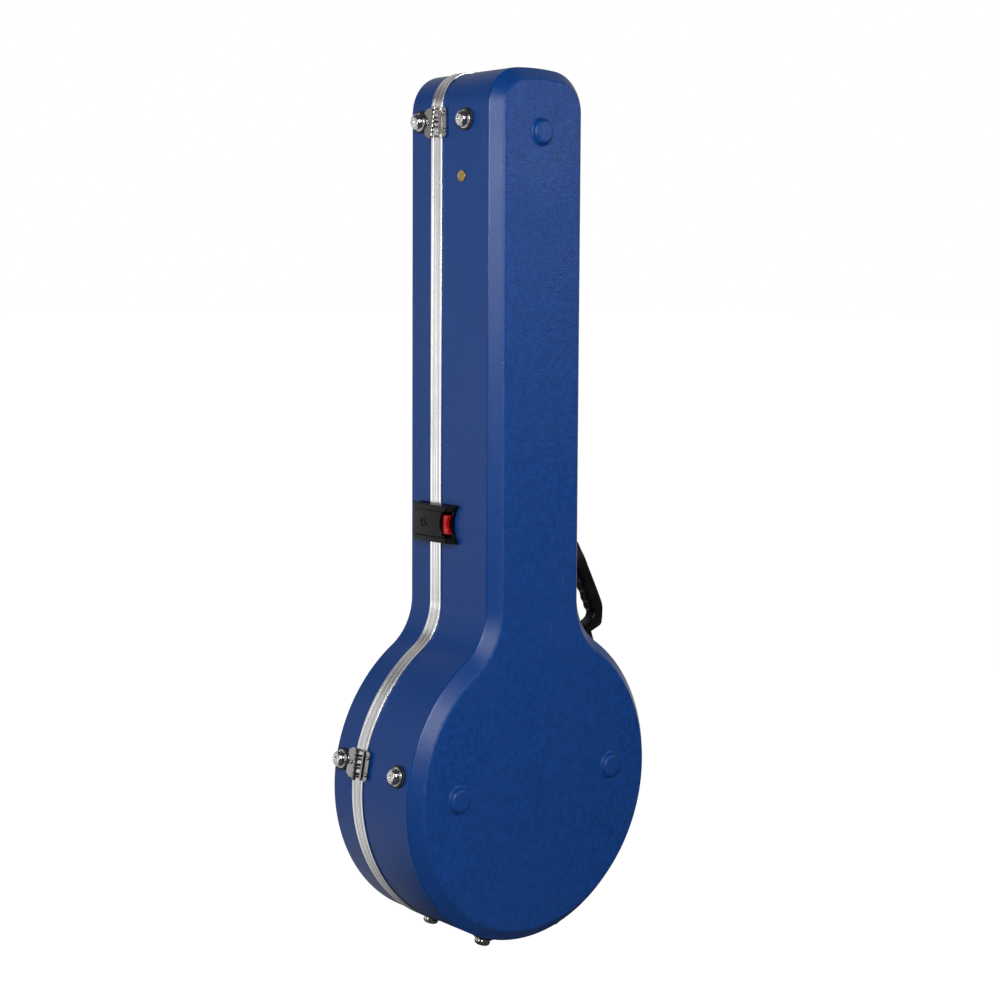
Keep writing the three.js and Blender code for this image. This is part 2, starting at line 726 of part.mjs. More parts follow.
function latch_lever() {
  const cover_half = latch_half - latch.rail_width;
  const rail_underside = [
    [latch.heel_height, -latch.front], [latch.underside, latch.heel_depth], [latch.underside, 0],
    ...sweep_points(0, latch.rail_reach, 0).slice(1),
  ];
  const rails = [-1, 1].map((side) => {
    const ends = [side * cover_half, side * latch_half];
    return extruded(lever_profile(0, rail_underside), Math.min(...ends), Math.max(...ends));
  });
  const depth_of_cover = latch.cover_drop + latch.cover_thickness;
  const cover_underside = [
    [latch.front_rise - latch.cover_drop - latch.cover_edge, -latch.front],
    [latch.front_top - depth_of_cover, -latch.front + latch.front_slope],
    [latch.crest - depth_of_cover, latch.crest_depth],
    [latch.rail_end_height - depth_of_cover, latch.rail_reach],
  ];
  const cover_reach_across = cover_half + fit_gap;
  const cover_profile = lever_profile(latch.cover_drop, cover_underside);
  const cover = extruded(cover_profile, -cover_reach_across, cover_reach_across);
  const radius = hollow_radius(cover_half, latch.cover_side_reach - latch.cover_reach);
  const hollow_rod = rod(radius, 0, latch.crest + overrun, round_facets * 3).rotateY(Math.PI / 2);
  const hollow = common(
    hollow_rod.translate(0, latch.cover_reach + radius, 0),
    block(0, latch.crest + overrun, 0, latch.rail_reach + overrun, -cover_half, cover_half),
  );
  const grooves = [-1, 1].map((side) => {
    const ends = [side * (cover_half - latch.cover_gap), side * cover_half];
    const low = latch.crest - latch.cover_drop - latch.cover_groove;
    return block(low, latch.crest + overrun, -latch.front + latch.front_slope, latch.cover_side_reach,
      Math.min(...ends), Math.max(...ends));
  });
  const barrel_half = cover_half - latch_base.ear_inset - latch_base.ear_width - fit_gap;
  const barrel = rod(latch.barrel_radius, -barrel_half, barrel_half, small_round_facets);
  const web = block(latch.pivot_height, latch.crest - depth_of_cover, -latch.front + latch.front_slope,
    latch.pivot_depth + latch.barrel_radius, -barrel_half, barrel_half);
  const hook = block(latch.rail_end_height - depth_of_cover - latch.hook_drop, latch.crest - depth_of_cover,
    latch.hook_start, latch.hook_end, -latch.hook_width / 2, latch.hook_width / 2);
  const face = latch.crest - latch.cover_drop;
  const ring_low = face - latch.cover_thickness / 2;
  const ring_high = face + latch.ring_height;
  const ring = turned([
    [latch.ring_inner, ring_low], [latch.ring_outer, ring_low], [latch.ring_outer, ring_high],
    [latch.ring_inner, ring_high], [latch.ring_inner, ring_low],
  ]).translate(0, latch.ring_depth, 0);
  const plug = turned([
    [0, ring_low], [latch.plug_radius, ring_low], [latch.plug_radius, ring_high], [0, ring_high],
  ], small_round_facets).translate(0, latch.ring_depth, 0);
  const bore_half = latch_half - latch.rail_width / 2;
  const bore = rod(latch.pin_radius + fit_gap, -bore_half, bore_half, small_round_facets);
  const pivot = [latch.pivot_height, latch.pivot_depth, 0];
  return cut(
    join(cut(join(...rails, cover, web), hollow, ...grooves), barrel.translate(...pivot), hook, ring, plug),
    bore.translate(...pivot),
  );
}

function latch_base_solid() {
  const cover_half = latch_half - latch.rail_width;
  const outer = cover_half - latch_base.ear_inset;
  const inner = outer - latch_base.ear_width;
  const plate = block(-latch.underside, fit_gap + latch_base.plate, latch_base.start,
    -valance.outer_depth - fit_gap, -outer, outer);
  const ears = [-1, 1].map((side) => {
    const low = Math.min(side * inner, side * outer);
    const high = low + latch_base.ear_width;
    const eye = rod(latch_base.ear_radius, low, high).translate(latch.pivot_height, latch.pivot_depth, 0);
    return join(eye, block(fit_gap, latch.pivot_height, latch_base.start, latch_base.ear_end, low, high));
  });
  const flange_half = latch_half + keeper.flange;
  const flange = block(-latch.underside, keeper.flange_height,
    latch_base.start, -valance.outer_depth - fit_gap, -flange_half, flange_half);
  const bore = rod(latch.pin_radius + fit_gap, -latch_half, latch_half, small_round_facets);
  return cut(join(plate, flange, ...ears), bore.translate(latch.pivot_height, latch.pivot_depth, 0));
}

function latch_pin() {
  const half = latch_half - latch.rail_width / 2 - fit_gap;
  const pin = rod(latch.pin_radius, -half, half, small_round_facets);
  return pin.translate(latch.pivot_height, latch.pivot_depth, 0);
}

const keeper_end_radius = hollow_radius(latch_half, keeper.end - keeper.end_middle);

function keeper_end_cut(wall) {
  const radius = keeper_end_radius + wall;
  const column = rod(radius, -latch.width, latch.width, round_facets * 4).rotateY(Math.PI / 2);
  return column.translate(0, keeper.end_middle + keeper_end_radius, 0);
}

function latch_keeper() {
  const side = [
    [-latch.underside, keeper.start], [-latch.underside, keeper.end], [keeper.end_height, keeper.end],
    [keeper.rail_height, keeper.rail_start],
    ...sweep_points(keeper.start, keeper.rail_start, latch.sweep_gap).reverse(),
  ];
  const inside = latch_half - latch.rail_width;
  const room = [keeper.start - overrun, keeper.end + overrun, -inside, inside];
  const low_room = cut(block(keeper.floor, latch.width, ...room), keeper_end_cut(keeper.end_wall));
  const high_room = block(keeper.end_wall_height, latch.width, ...room);
  const flange_half = latch_half + keeper.flange;
  const flange = block(-latch.underside, keeper.flange_height,
    keeper.start, keeper.end, -flange_half, flange_half);
  const body = cut(extruded(side, -latch_half, latch_half), low_room, high_room);
  return cut(join(body, flange), keeper_end_cut(0));
}

function latch_trigger() {
  const half = trigger.width / 2;
  const side = [
    [trigger.low, trigger.start], [trigger.low, trigger.undercut_depth],
    [trigger.rim_height - trigger.rim_thickness, trigger.rim_depth],
    [trigger.rim_height - trigger.rim_thickness, trigger.rim_side_depth + overrun],
    [trigger.rim_height - (trigger.crest - trigger.rim_height) / 4, trigger.rim_side_depth + overrun],
    [trigger.crest, trigger.crest_depth], [trigger.shoulder, trigger.shoulder_depth],
    [trigger.start_height, trigger.start],
  ];
  const radius = hollow_radius(half, trigger.rim_side_depth - trigger.rim_depth);
  const hollow = rod(radius, -latch.width, latch.width, round_facets * 3).rotateY(Math.PI / 2);
  return cut(extruded(side, -half, half), hollow.translate(0, trigger.rim_depth + radius, 0));
}

const latches = [
  { name: 'hinge_side', place: neck_place(hinge_side_latch_height, 1) },
  { name: 'upper', place: neck_place(shell_length - upper_latch_below_top, -1) },
  { name: 'middle', place: neck_place(shoulder_z + middle_latch_rise, -1) },
  { name: 'body', place: body_place(body_latch_angle) },
];

function make_latch({ name, place }) {
  const group = wall_group(place);
  casing.add(group);
  piece(`latch_${name}_lever`, latch_lever(), latch_black, group);
  piece(`latch_${name}_base`, seated(latch_base_solid(), group), latch_black, group);
  piece(`latch_${name}_pin`, latch_pin(), hinge_steel, group);
  piece(`latch_${name}_keeper`, seated(latch_keeper(), group), latch_black, group);
  piece(`latch_${name}_trigger`, latch_trigger(), trigger_red, group);
}

// Handle: it bridges the hollow between the neck and the body on the side away from the hinges
const handle_low = body_place(handle.seat_angle);
const handle_high = shoulder_z + handle.seat_rise;
const handle_rise = handle_high - handle_low.z;
const handle_run = -half_neck - handle_low.x;
const handle_place = {
  x: (handle_low.x - half_neck) / 2,
  z: (handle_low.z + handle_high) / 2,
  angle: Math.atan2(handle_run, -handle_rise),
};

function handle_grip() {
  const s = handle.half_length;
  const along = ([u, v]) => [v * s, -u * s];
  const foot_points = (side, inner) => [[handle.foot_rise, -side * s], [handle.foot_rise, inner]];
  const inner = grip_inner_shares.map(along);
  const outline = [
    ...foot_points(-1, inner[inner.length - 1][1]).slice(0, 1), ...grip_outer_shares.map(along),
    ...foot_points(1, inner[0][1]), ...inner, [handle.foot_rise, inner[inner.length - 1][1]],
  ];
  const half_width = handle.width / 2;
  const c = handle.end_bevel;
  const body = new THREE.ExtrudeGeometry(
    new THREE.Shape(outline.map(([x, y]) => new THREE.Vector2(x, y))),
    { depth: handle.width - 2 * c, bevelThickness: c, bevelSize: c, bevelOffset: -c, bevelSegments: 1 },
  );
  body.translate(0, 0, c - half_width).rotateX(Math.PI / 2);
  const sides = grip_side_shares.map(([u, w]) => [u * (s + fit_gap), w * handle.width]);
  const plan = [...sides, ...sides.slice().reverse().map(([u, w]) => [u, -w])];
  const mask = extruded(plan.map(([u, w]) => [w, u]), -overrun, handle.half_length);
  mask.applyMatrix4(new THREE.Matrix4().set(0, 0, 1, 0, 1, 0, 0, 0, 0, -1, 0, 0, 0, 0, 0, 1));
  const bores = [-1, 1].map((side) => {
    const ends = [side * (s - handle.pin_length - fit_gap), side * (s + overrun)];
    return rod(handle.pin_radius + fit_gap, Math.min(...ends), Math.max(...ends), small_round_facets)
      .translate(handle.pivot_rise, 0, 0);
  });
  return cut(common(body, mask), ...bores);
}

function handle_bracket(side, group) {
  const start = handle.half_length + fit_gap;
  const b = bracket;
  const profile = [
    [-b.deep, -b.half_width], [b.top - b.corner, -b.half_width], [b.top, b.corner - b.half_width],
    [b.top, b.half_width - b.corner], [b.top - b.corner, b.half_width], [-b.deep, b.half_width],
  ];
  const ends = [side * start, side * (start + b.length)];
  const block_body = seated(extruded(profile, Math.min(...ends), Math.max(...ends)), group);
  const pin_ends = [side * (start - fit_gap - handle.pin_length), side * (start + b.length / 2)];
  const pin = rod(handle.pin_radius, Math.min(...pin_ends), Math.max(...pin_ends), small_round_facets);
  return join(block_body, pin.translate(handle.pivot_rise, 0, 0));
}

function make_handle() {
  const group = wall_group(handle_place, handle.depth);
  casing.add(group);
  piece('handle_grip', handle_grip(), handle_black, group);
  piece('handle_bracket_lower', handle_bracket(1, group), handle_black, group);
  piece('handle_bracket_upper', handle_bracket(-1, group), handle_black, group);
}

// Casing shells
function foot_holes(test) {
  return feet.filter(test).map(({ place, depth }) => {
    const reach = foot.washer_radius;
    const hole = rod(foot.screw_radius + fit_gap, -reach, reach, small_round_facets);
    return hole.rotateY(Math.PI / 2).applyMatrix4(wall_group(place, depth).matrixWorld);
  });
}

function boss_solid(x, z) {
  const turned_boss = turned([
    [0, -shell_thickness / 2], [boss.base_radius, -shell_thickness / 2], [boss.base_radius, 0],
    [boss.shoulder_radius, boss.shoulder_height], [boss.face_radius, boss.height], [0, boss.height],
  ]);
  return turned_boss.rotateZ(Math.PI / 2).translate(x, back_face, z);
}

function shell_rings(start, wall_edge, face) {
  const soft = edge_softness;
  const lip = soft * Math.SQRT1_2;
  return [
    [start, 0], [wall_edge, 0], [face - lip, edge_chamfer - lip],
    [face - lip / 4, edge_chamfer + lip / 4], [face, edge_chamfer + soft],
  ];
}

function hollow_rings(start, wall_edge, face) {
  const t = shell_thickness;
  return [
    [start - overrun, t], [wall_edge - t * chamfer_bevel, t], [face - t, edge_chamfer + t * chamfer_bevel],
  ];
}

const flipped = (rings) => rings.map(([depth, inset]) => [-depth, inset]);

function make_shells() {
  const back_outer = loft(shell_rings(back_shell_start, back_wall_edge, back_face));
  const low_bosses = body_radius + boss_low_rise;
  const bosses = [
    boss_solid(boss_side_shift, shell_length - boss_below_top),
    boss_solid(boss_side_shift + boss_offset, low_bosses),
    boss_solid(boss_side_shift - boss_offset, low_bosses),
  ];
  const back_hollow = loft(hollow_rings(back_shell_start, back_wall_edge, back_face));
  piece('back_shell', cut(join(back_outer, ...bosses), back_hollow,
    ...foot_holes(({ depth }) => depth > 0), ...hinge_holes(back_rivet_places)), blue_plastic);
  const lid_outer = loft(flipped(shell_rings(lid_shell_start, lid_wall_edge, lid_face)));
  const lid_hollow = loft(flipped(hollow_rings(lid_shell_start, lid_wall_edge, lid_face)));
  piece('lid_shell', cut(lid_outer, lid_hollow,
    ...foot_holes(({ depth }) => depth < 0), ...hinge_holes(lid_rivet_places)), blue_plastic);
}

// Edge strips of the two halves
function make_valances() {
  const v = valance;
  const inner_face = -shell_thickness - fit_gap;
  piece('back_valance', edge_strip([
    [valance_face, v.seam_gap], [valance_face, v.outer_depth], [fit_gap, v.outer_depth],
    [fit_gap, v.seam_gap + v.web], [inner_face, v.seam_gap + v.web], [inner_face, v.inner_depth],
    [inner_face - v.sheet, v.inner_depth], [inner_face - v.sheet, v.seam_gap],
    [-v.tongue_inner, v.seam_gap], [-v.tongue_inner, -v.tongue_depth],
    [-v.tongue_outer, -v.tongue_depth], [-v.tongue_outer, v.seam_gap],
  ]), aluminium);
  const web_end = lid_shell_start - fit_gap;
  piece('lid_valance', edge_strip([
    [valance_face, -v.seam_gap], [valance_face, -v.outer_depth], [fit_gap, -v.outer_depth],
    [fit_gap, -web_end], [inner_face, -web_end], [inner_face, -v.inner_depth],
    [inner_face - v.sheet, -v.inner_depth], [inner_face - v.sheet, -v.seam_gap],
    [-v.groove_inner, -v.seam_gap], [-v.groove_inner, -v.groove_depth],
    [-v.groove_outer, -v.groove_depth], [-v.groove_outer, -v.seam_gap],
  ]), aluminium);
}

// Inside: liners, cradle and the accessory pocket
function rounded_rectangle(half_width, low, high, corner) {
  const quarter = Math.PI / 2;
  const side = half_width - corner;
  return [
    ...arc(side, low + corner, corner, -quarter, 0, 3), [half_width, low + corner],
    ...arc(side, high - corner, corner, 0, quarter, 3), [side, high],
    ...arc(-side, high - corner, corner, quarter, 2 * quarter, 3), [-half_width, high - corner],
    ...arc(-side, low + corner, corner, 2 * quarter, 3 * quarter, 3), [-side, low],
  ];
}

function make_interior() {
  const n = liner;
  const bottom = back_face - shell_thickness - fit_gap;
  const wall_end = back_wall_edge - n.inset * chamfer_bevel;
  const filling = loft([
    [n.rim, n.inset], [wall_end, n.inset], [bottom, n.inset + bottom - wall_end],
  ]);
  const well_radius = body_radius - n.inset - n.well_wall;
  const well = rod(well_radius, n.rim - overrun, bottom - n.well_floor, body_facets * 2);
  const joint = shoulder_z + n.joint_rise;
  const channel_half = half_neck - n.inset - n.channel_wall;
  const head_floor = n.channel_floor + n.head_depth;
  const head_high = shell_length - n.head_end;
  const pocket_high = shoulder_z + pocket.hinge_rise;
  const pocket_low = pocket_high - pocket.length;
  const pocket_half = channel_half - pocket.side_inset;
  const channel_high = shell_length - n.channel_end;
  const channel_outline = rounded_rectangle(channel_half, body_radius, channel_high, n.channel_corner);
  const channel = extruded_in_depth(channel_outline, n.rim - overrun, n.channel_floor);
  const head_half = channel_half - n.head_inset;
  const head_outline = rounded_rectangle(head_half, head_high - n.head_length, head_high, n.head_corner);
  const head_recess = extruded_in_depth(head_outline, n.channel_floor - overrun, head_floor);
  const pocket_well = block(pocket.ledge - pocket_half, pocket_half - pocket.ledge, n.channel_floor - overrun,
    bottom - pocket.floor, pocket_low + pocket.ledge, pocket_high - pocket.ledge);
  const above_joint = block(-body_radius, body_radius, 0, back_face, joint, shell_length);
  const below_joint = block(-body_radius, body_radius, 0, back_face, 0, joint - fit_gap);
  piece('body_liner', cut(
    common(filling, below_joint), well.rotateX(-Math.PI / 2).translate(0, 0, body_radius), channel.clone(),
  ), plush);
  piece('neck_liner', cut(common(filling, above_joint), channel, head_recess, pocket_well), plush);

  const lid_bottom = lid_face - shell_thickness - fit_gap;
  const lid_wall_end = lid_wall_edge - n.inset * chamfer_bevel;
  const wall = n.inset + n.lid_wall;
  const floor = lid_bottom - n.lid_floor;
  piece('lid_liner', cut(
    loft([[-n.rim, n.inset], [-lid_wall_end, n.inset], [-lid_bottom, n.inset + lid_bottom - lid_wall_end]]),
    loft([[-n.rim + overrun, wall], [-floor, wall]]),
  ), plush);

  const seat = n.channel_floor - fit_gap;
  const cradle_high = shell_length - cradle.below_top;
  const cradle_low = cradle_high - cradle.length;
  const cradle_half = channel_half - cradle.side_gap;
  const notch = rod(cradle.notch_radius, cradle_low - overrun, cradle_high + overrun, round_facets * 2);
  piece('neck_cradle', cut(
    block(-cradle_half, cradle_half, seat - cradle.height, seat, cradle_low, cradle_high),
    notch.translate(0, seat - cradle.height + cradle.notch_depth - cradle.notch_radius, 0),
  ), plush);

  const lid_top = seat - pocket.lid_thickness;
  piece('compartment_lid', block(-pocket_half, pocket_half, lid_top, seat, pocket_low, pocket_high), plush);
  const tab_half = pocket.tab_width / 2;
  const tab_face = lid_top - fit_gap;
  piece('pull_tab', block(-tab_half, tab_half, tab_face - pocket.tab_thickness, tab_face,
    pocket_low - pocket.tab_reach, pocket_low + pocket.tab_length), tab_webbing);
}

function make_badge() {
  const group = wall_group(neck_place(shell_length - badge.below_top, 1), badge.depth);
  casing.add(group);
  piece('badge_disc', turned([
    [0, fit_gap], [badge.radius, fit_gap], [badge.radius, fit_gap + badge.rim],
    [badge.face_radius, fit_gap + badge.rim], [badge.face_radius, fit_gap + badge.face],
    [0, fit_gap + badge.face],
  ]), brass, group);
}

make_shells();
make_valances();
make_interior();
hinges.forEach(make_hinge);
latches.forEach(make_latch);
make_handle();
feet.forEach(make_foot);
make_badge();

// Stand the case on its end feet, centred over the origin
casing.updateMatrixWorld(true);
const extent = new THREE.Box3().setFromObject(casing, true);
const middle = extent.getCenter(new THREE.Vector3());
casing.position.set(-middle.x, -middle.y, -extent.min.z);

export default casing;
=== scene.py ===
from math import acos, asin, atan2, cos, hypot, pi, radians, sin, sqrt, tan

import bmesh
import bpy
from mathutils import Matrix, Vector, noise


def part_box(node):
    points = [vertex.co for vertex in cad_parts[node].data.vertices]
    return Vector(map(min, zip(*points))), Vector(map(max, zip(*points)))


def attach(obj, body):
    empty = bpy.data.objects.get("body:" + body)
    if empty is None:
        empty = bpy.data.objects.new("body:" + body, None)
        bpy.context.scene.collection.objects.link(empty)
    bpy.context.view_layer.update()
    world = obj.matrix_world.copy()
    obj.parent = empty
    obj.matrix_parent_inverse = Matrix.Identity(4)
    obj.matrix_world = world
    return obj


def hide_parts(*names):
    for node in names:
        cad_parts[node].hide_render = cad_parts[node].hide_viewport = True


bl_info = {
    "name": "Moulded banjo case",
    "version": (1, 0, 0),
    "blender": (4, 5, 0),
    "location": "View3D > Sidebar > Banjo case",
    "description": "Dresses the packed banjo case with its fine shapes and finishes",
    "category": "Object",
}

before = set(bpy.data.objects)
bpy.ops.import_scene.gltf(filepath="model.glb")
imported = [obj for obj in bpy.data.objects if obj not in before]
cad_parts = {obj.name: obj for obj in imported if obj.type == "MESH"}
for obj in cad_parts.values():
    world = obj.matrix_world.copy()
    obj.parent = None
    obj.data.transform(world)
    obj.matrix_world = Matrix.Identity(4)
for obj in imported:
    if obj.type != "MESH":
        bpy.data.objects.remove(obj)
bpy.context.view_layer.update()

MM = 0.001
FULL_TURN = 2 * pi

# Casing outline and depths, in millimetres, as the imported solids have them
SHELL_LENGTH = 1050.0
BODY_RADIUS = 192.8
HALF_NECK = 74.0
CORNER_RADIUS = 47.5
CROWN_RISE = 8.3
SHOULDER_RADIUS = 69.0
LID_EDGE = 47.7
BACK_EDGE = 92.6
CHAMFER = 15.0
WALL = 3.0
LID_FACE = LID_EDGE + CHAMFER
BACK_FACE = BACK_EDGE + CHAMFER
BACK_START = 1.95
LID_START = 4.25
STRIP_FACE = 1.5
STRIP_DEPTH = 10.0
SEAM_GAP = 0.15
TONGUE_DEPTH = 1.85

# The seam plane, the casing's centre line and the shell's lowest point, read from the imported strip
_low, _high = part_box("back_valance")
ORIGIN = Vector(((_low.x + _high.x) / 2, _low.y + TONGUE_DEPTH * MM, _low.z + STRIP_FACE * MM))

SHOULDER_X = HALF_NECK + SHOULDER_RADIUS
SHOULDER_Z = BODY_RADIUS + sqrt((BODY_RADIUS + SHOULDER_RADIUS) ** 2 - SHOULDER_X ** 2)
SHOULDER_TURN = atan2(SHOULDER_Z - BODY_RADIUS, SHOULDER_X)
CROWN_RADIUS = (HALF_NECK ** 2 + CROWN_RISE ** 2) / (2 * CROWN_RISE)
CROWN_Z = SHELL_LENGTH - CROWN_RADIUS
CORNER_X = HALF_NECK - CORNER_RADIUS
CORNER_Z = CROWN_Z + sqrt((CROWN_RADIUS - CORNER_RADIUS) ** 2 - CORNER_X ** 2)
CROWN_TURN = atan2(CORNER_Z - CROWN_Z, CORNER_X)

# Hinges: both pins lie on one slanted line that touches the body and the top of the neck
PIN_RISE = 7.2
UPPER_HINGE = SHELL_LENGTH - 62.5
HINGE_REACH = hypot(HALF_NECK, UPPER_HINGE - BODY_RADIUS)
HINGE_TILT = atan2(UPPER_HINGE - BODY_RADIUS, HALF_NECK) - acos(BODY_RADIUS / HINGE_REACH)
LOWER_HINGE_LIFT = 6.7
KNUCKLES = 7
KNUCKLE_LENGTH = 2.9
HINGE_LENGTH = 35.0

# Latches: half widths of the whole latch and of its cover, the lever's pivot, nose, heel and toe, and
# the place of the one at the hinges
LATCH_HALF = 22.6
COVER_HALF = 16.3
PIVOT = (6.4, -30.4)
NOSE, HEEL, TOE = 30.3, -31.4, -36.0
HINGE_SIDE_LATCH = SHOULDER_Z + 96.2
SWEEP_LINE = (BODY_RADIUS + PIN_RISE - HALF_NECK * cos(HINGE_TILT)
              - (HINGE_SIDE_LATCH + LATCH_HALF - BODY_RADIUS) * sin(HINGE_TILT))
SWEEP_RADIUS = SWEEP_LINE - STRIP_FACE - 0.6

# Handle: half its length, its distance from the seam, and its two seats on the wall
GRIP_HALF = 61.0
GRIP_DEPTH = 51.0
GRIP_SEAT = 132.6
GRIP_RISE = 72.3


# Places and outlines

def wall_place(x, z, turn, depth=0.0):
    """Matrix from a wall's own millimetres (out of it, to the back, along it) to the frame's metres."""
    c, s = cos(turn), sin(turn)
    local = Matrix(((c, 0, -s, x), (0, 1, 0, depth), (s, 0, c, z), (0, 0, 0, 1)))
    return Matrix.Translation(ORIGIN) @ Matrix.Scale(MM, 4) @ local


CASING_PLACE = wall_place(0.0, 0.0, 0.0)


def neck_wall(z, side, depth=0.0):
    return wall_place(side * HALF_NECK, z, 0.0 if side > 0 else pi, depth)


def body_wall(degrees, depth=0.0):
    turn = radians(degrees)
    return wall_place(BODY_RADIUS * cos(turn), BODY_RADIUS * (1 + sin(turn)), turn, depth)


def spread(start, end, steps):
    return [start + (end - start) * i / steps for i in range(steps + 1)]


def arc(x, z, radius, start, end, steps):
    """Points of an arc, without the last."""
    return [(x + radius * cos(t), z + radius * sin(t)) for t in spread(start, end, steps)[:-1]]


def outline(inset):
    """Points round the casing, anticlockwise seen from the lid, drawn in by an inset."""
    quarter = pi / 2
    half = arc(0, BODY_RADIUS, BODY_RADIUS - inset, -quarter, SHOULDER_TURN, 84)
    half += arc(SHOULDER_X, SHOULDER_Z, SHOULDER_RADIUS + inset, pi + SHOULDER_TURN, pi, 18)
    half += [(HALF_NECK - inset, z) for z in spread(SHOULDER_Z, CORNER_Z, 16)[:-1]]
    half += arc(CORNER_X, CORNER_Z, CORNER_RADIUS - inset, 0, CROWN_TURN, 18)
    half += arc(0, CROWN_Z, CROWN_RADIUS - inset, CROWN_TURN, quarter, 10)
    top = (0.0, SHELL_LENGTH - inset)
    return half + [top] + [(-x, z) for x, z in reversed(half[1:])]


def fillet(before, corner, after, radius, steps):
    """Points of a round corner between two straight runs of a profile."""
    a = (Vector(before) - Vector(corner)).normalized()
    b = (Vector(after) - Vector(corner)).normalized()
    half_turn = a.angle(b) / 2
    reach = radius / tan(half_turn)
    start, end = Vector(corner) + a * reach, Vector(corner) + b * reach
    centre = Vector(corner) + (a + b).normalized() * (radius / sin(half_turn))
    spokes = [(start - centre).slerp(end - centre, i / steps) for i in range(steps + 1)]
    return [tuple(centre + spoke.normalized() * radius) for spoke in spokes]


# Meshes

def link(obj):
    bpy.context.scene.collection.objects.link(obj)
    return obj


def drop(*spent):
    for obj in spent:
        bpy.data.objects.remove(obj)


def mesh_object(points, faces, edges=(), name="piece"):
    mesh = bpy.data.meshes.new(name)
    mesh.from_pydata([tuple(point) for point in points], list(edges), faces)
    mesh.update()
    return link(bpy.data.objects.new(name, mesh))


def loop_object(points):
    """A closed line through points."""
    count = len(points)
    return mesh_object(points, [], [(i, (i + 1) % count) for i in range(count)])


def grid_faces(rows, count, round_rows=False, round_points=True):
    """Faces between the neighbouring points of neighbouring rows."""
    faces = []
    for k in range(rows if round_rows else rows - 1):
        for i in range(count if round_points else count - 1):
            here, there = k * count, (k + 1) % rows * count
            j = (i + 1) % count
            faces.append((here + i, here + j, there + j, there + i))
    return faces


def outward(obj, near=1e-5, collapse=False):
    """Merges doubled points of a closed mesh and points its faces outwards."""
    made = bmesh.new()
    made.from_mesh(obj.data)
    bmesh.ops.remove_doubles(made, verts=made.verts, dist=near)
    if collapse:
        bmesh.ops.dissolve_degenerate(made, edges=made.edges, dist=near)
    bmesh.ops.recalc_face_normals(made, faces=made.faces)
    made.to_mesh(obj.data)
    made.free()
    return obj


def settle(obj):
    """Turns what an object's modifiers make into its plain mesh."""
    bpy.context.view_layer.update()
    graph = bpy.context.evaluated_depsgraph_get()
    shape = obj.evaluated_get(graph)
    mesh = bpy.data.meshes.new_from_object(shape, preserve_all_data_layers=True, depsgraph=graph)
    obj.modifiers.clear()
    obj.data = mesh
    return obj


def modified(obj, kind, **settings):
    """Gives an object one modifier and settles it."""
    change = obj.modifiers.new(kind, kind)
    for key, value in settings.items():
        setattr(change, key, value)
    return settle(obj)


def combined(target, operation, tools):
    for tool in tools:
        modified(target, "BOOLEAN", operation=operation, solver="EXACT", object=tool)
    drop(*tools)
    return target


def cut(target, *tools):
    return combined(target, "DIFFERENCE", tools)


def merged(pieces):
    """One mesh of several closed pieces that touch or overlap."""
    made = bmesh.new()
    for piece in pieces:
        made.from_mesh(piece.data)
    drop(*pieces)
    obj = mesh_object([], [])
    made.to_mesh(obj.data)
    made.free()
    return obj


def rings_mesh(rings):
    """A closed solid through rings of equal count, capped at both ends."""
    count, rows = len(rings[0]), len(rings)
    caps = [tuple(range(count)), tuple(reversed(range((rows - 1) * count, rows * count)))]
    return outward(mesh_object(sum(rings, []), caps + grid_faces(rows, count)))


def lathe(profile, steps=48):
    """A turned piece round the wall's outward axis, from pairs of radius and height. A profile that
    doesn't start on the axis makes a ring."""
    rows = [[(h, r * cos(t), r * sin(t)) for r, h in profile]
            for t in spread(0, FULL_TURN, steps)[:-1]]
    faces = grid_faces(steps, len(profile), True, profile[0][0] > 0)
    return outward(mesh_object(sum(rows, []), faces), 1e-4, True)


def prism(points, low, high):
    """A solid between two heights along the wall from points out of the wall and in depth."""
    return rings_mesh([[(u, v, w) for u, v in points] for w in (low, high)])


def column(points, low, high):
    """A solid standing out of the wall from points in depth and along the wall."""
    return rings_mesh([[(u, v, w) for v, w in points] for u in (low, high)])


def soft_edges(obj, width, steps=3):
    return modified(obj, "BEVEL", width=width, segments=steps, limit_method="ANGLE", angle_limit=radians(30))


def twin(obj):
    return link(bpy.data.objects.new("piece", obj.data.copy()))


def copy_of(node_name):
    """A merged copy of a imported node's mesh, with its flat faces made whole."""
    obj = twin(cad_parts[node_name])
    obj.data.materials.clear()
    made = bmesh.new()
    made.from_mesh(obj.data)
    bmesh.ops.remove_doubles(made, verts=made.verts, dist=2e-5)
    bmesh.ops.dissolve_limit(made, angle_limit=radians(1.5), verts=made.verts, edges=made.edges)
    made.to_mesh(obj.data)
    made.free()
    return obj


def dress(obj, name, body, finish, nodes, place=None, sharp=35.0):
    """Places a finished mesh, shades it, hangs it on its body's empty and hides the imported parts that it
    stands for.
    """
    mesh = obj.data
    if place is not None:
        mesh.transform(place)
    obj.name = mesh.name = name
    mesh.materials.clear()
    mesh.materials.append(bpy.data.materials[finish])
    mesh.polygons.foreach_set("material_index", [0] * len(mesh.polygons))
    mesh.shade_smooth()
    mesh.set_sharp_from_angle(angle=radians(sharp))
    modified(obj, "WEIGHTED_NORMAL", keep_sharp=True, weight=60)
    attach(obj, body)
    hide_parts(*nodes)
    return obj


def refined(node_name, width, body, finish, steps=3):
    """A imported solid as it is, with its edges softened."""
    piece = soft_edges(copy_of(node_name), width * MM, steps)
    dress(piece, f"{node_name}_fine", body, finish, [node_name])


# Node trees

PREFIXES = {"SHADER": "ShaderNode", "GEOMETRY": "GeometryNode"}


def feed(tree, sockets, values):
    """Links the values that are sockets and writes down the others."""
    for key, value in values.items():
        if isinstance(value, bpy.types.NodeSocket):
            tree.links.new(value, sockets[key])
        else:
            sockets[key].default_value = value


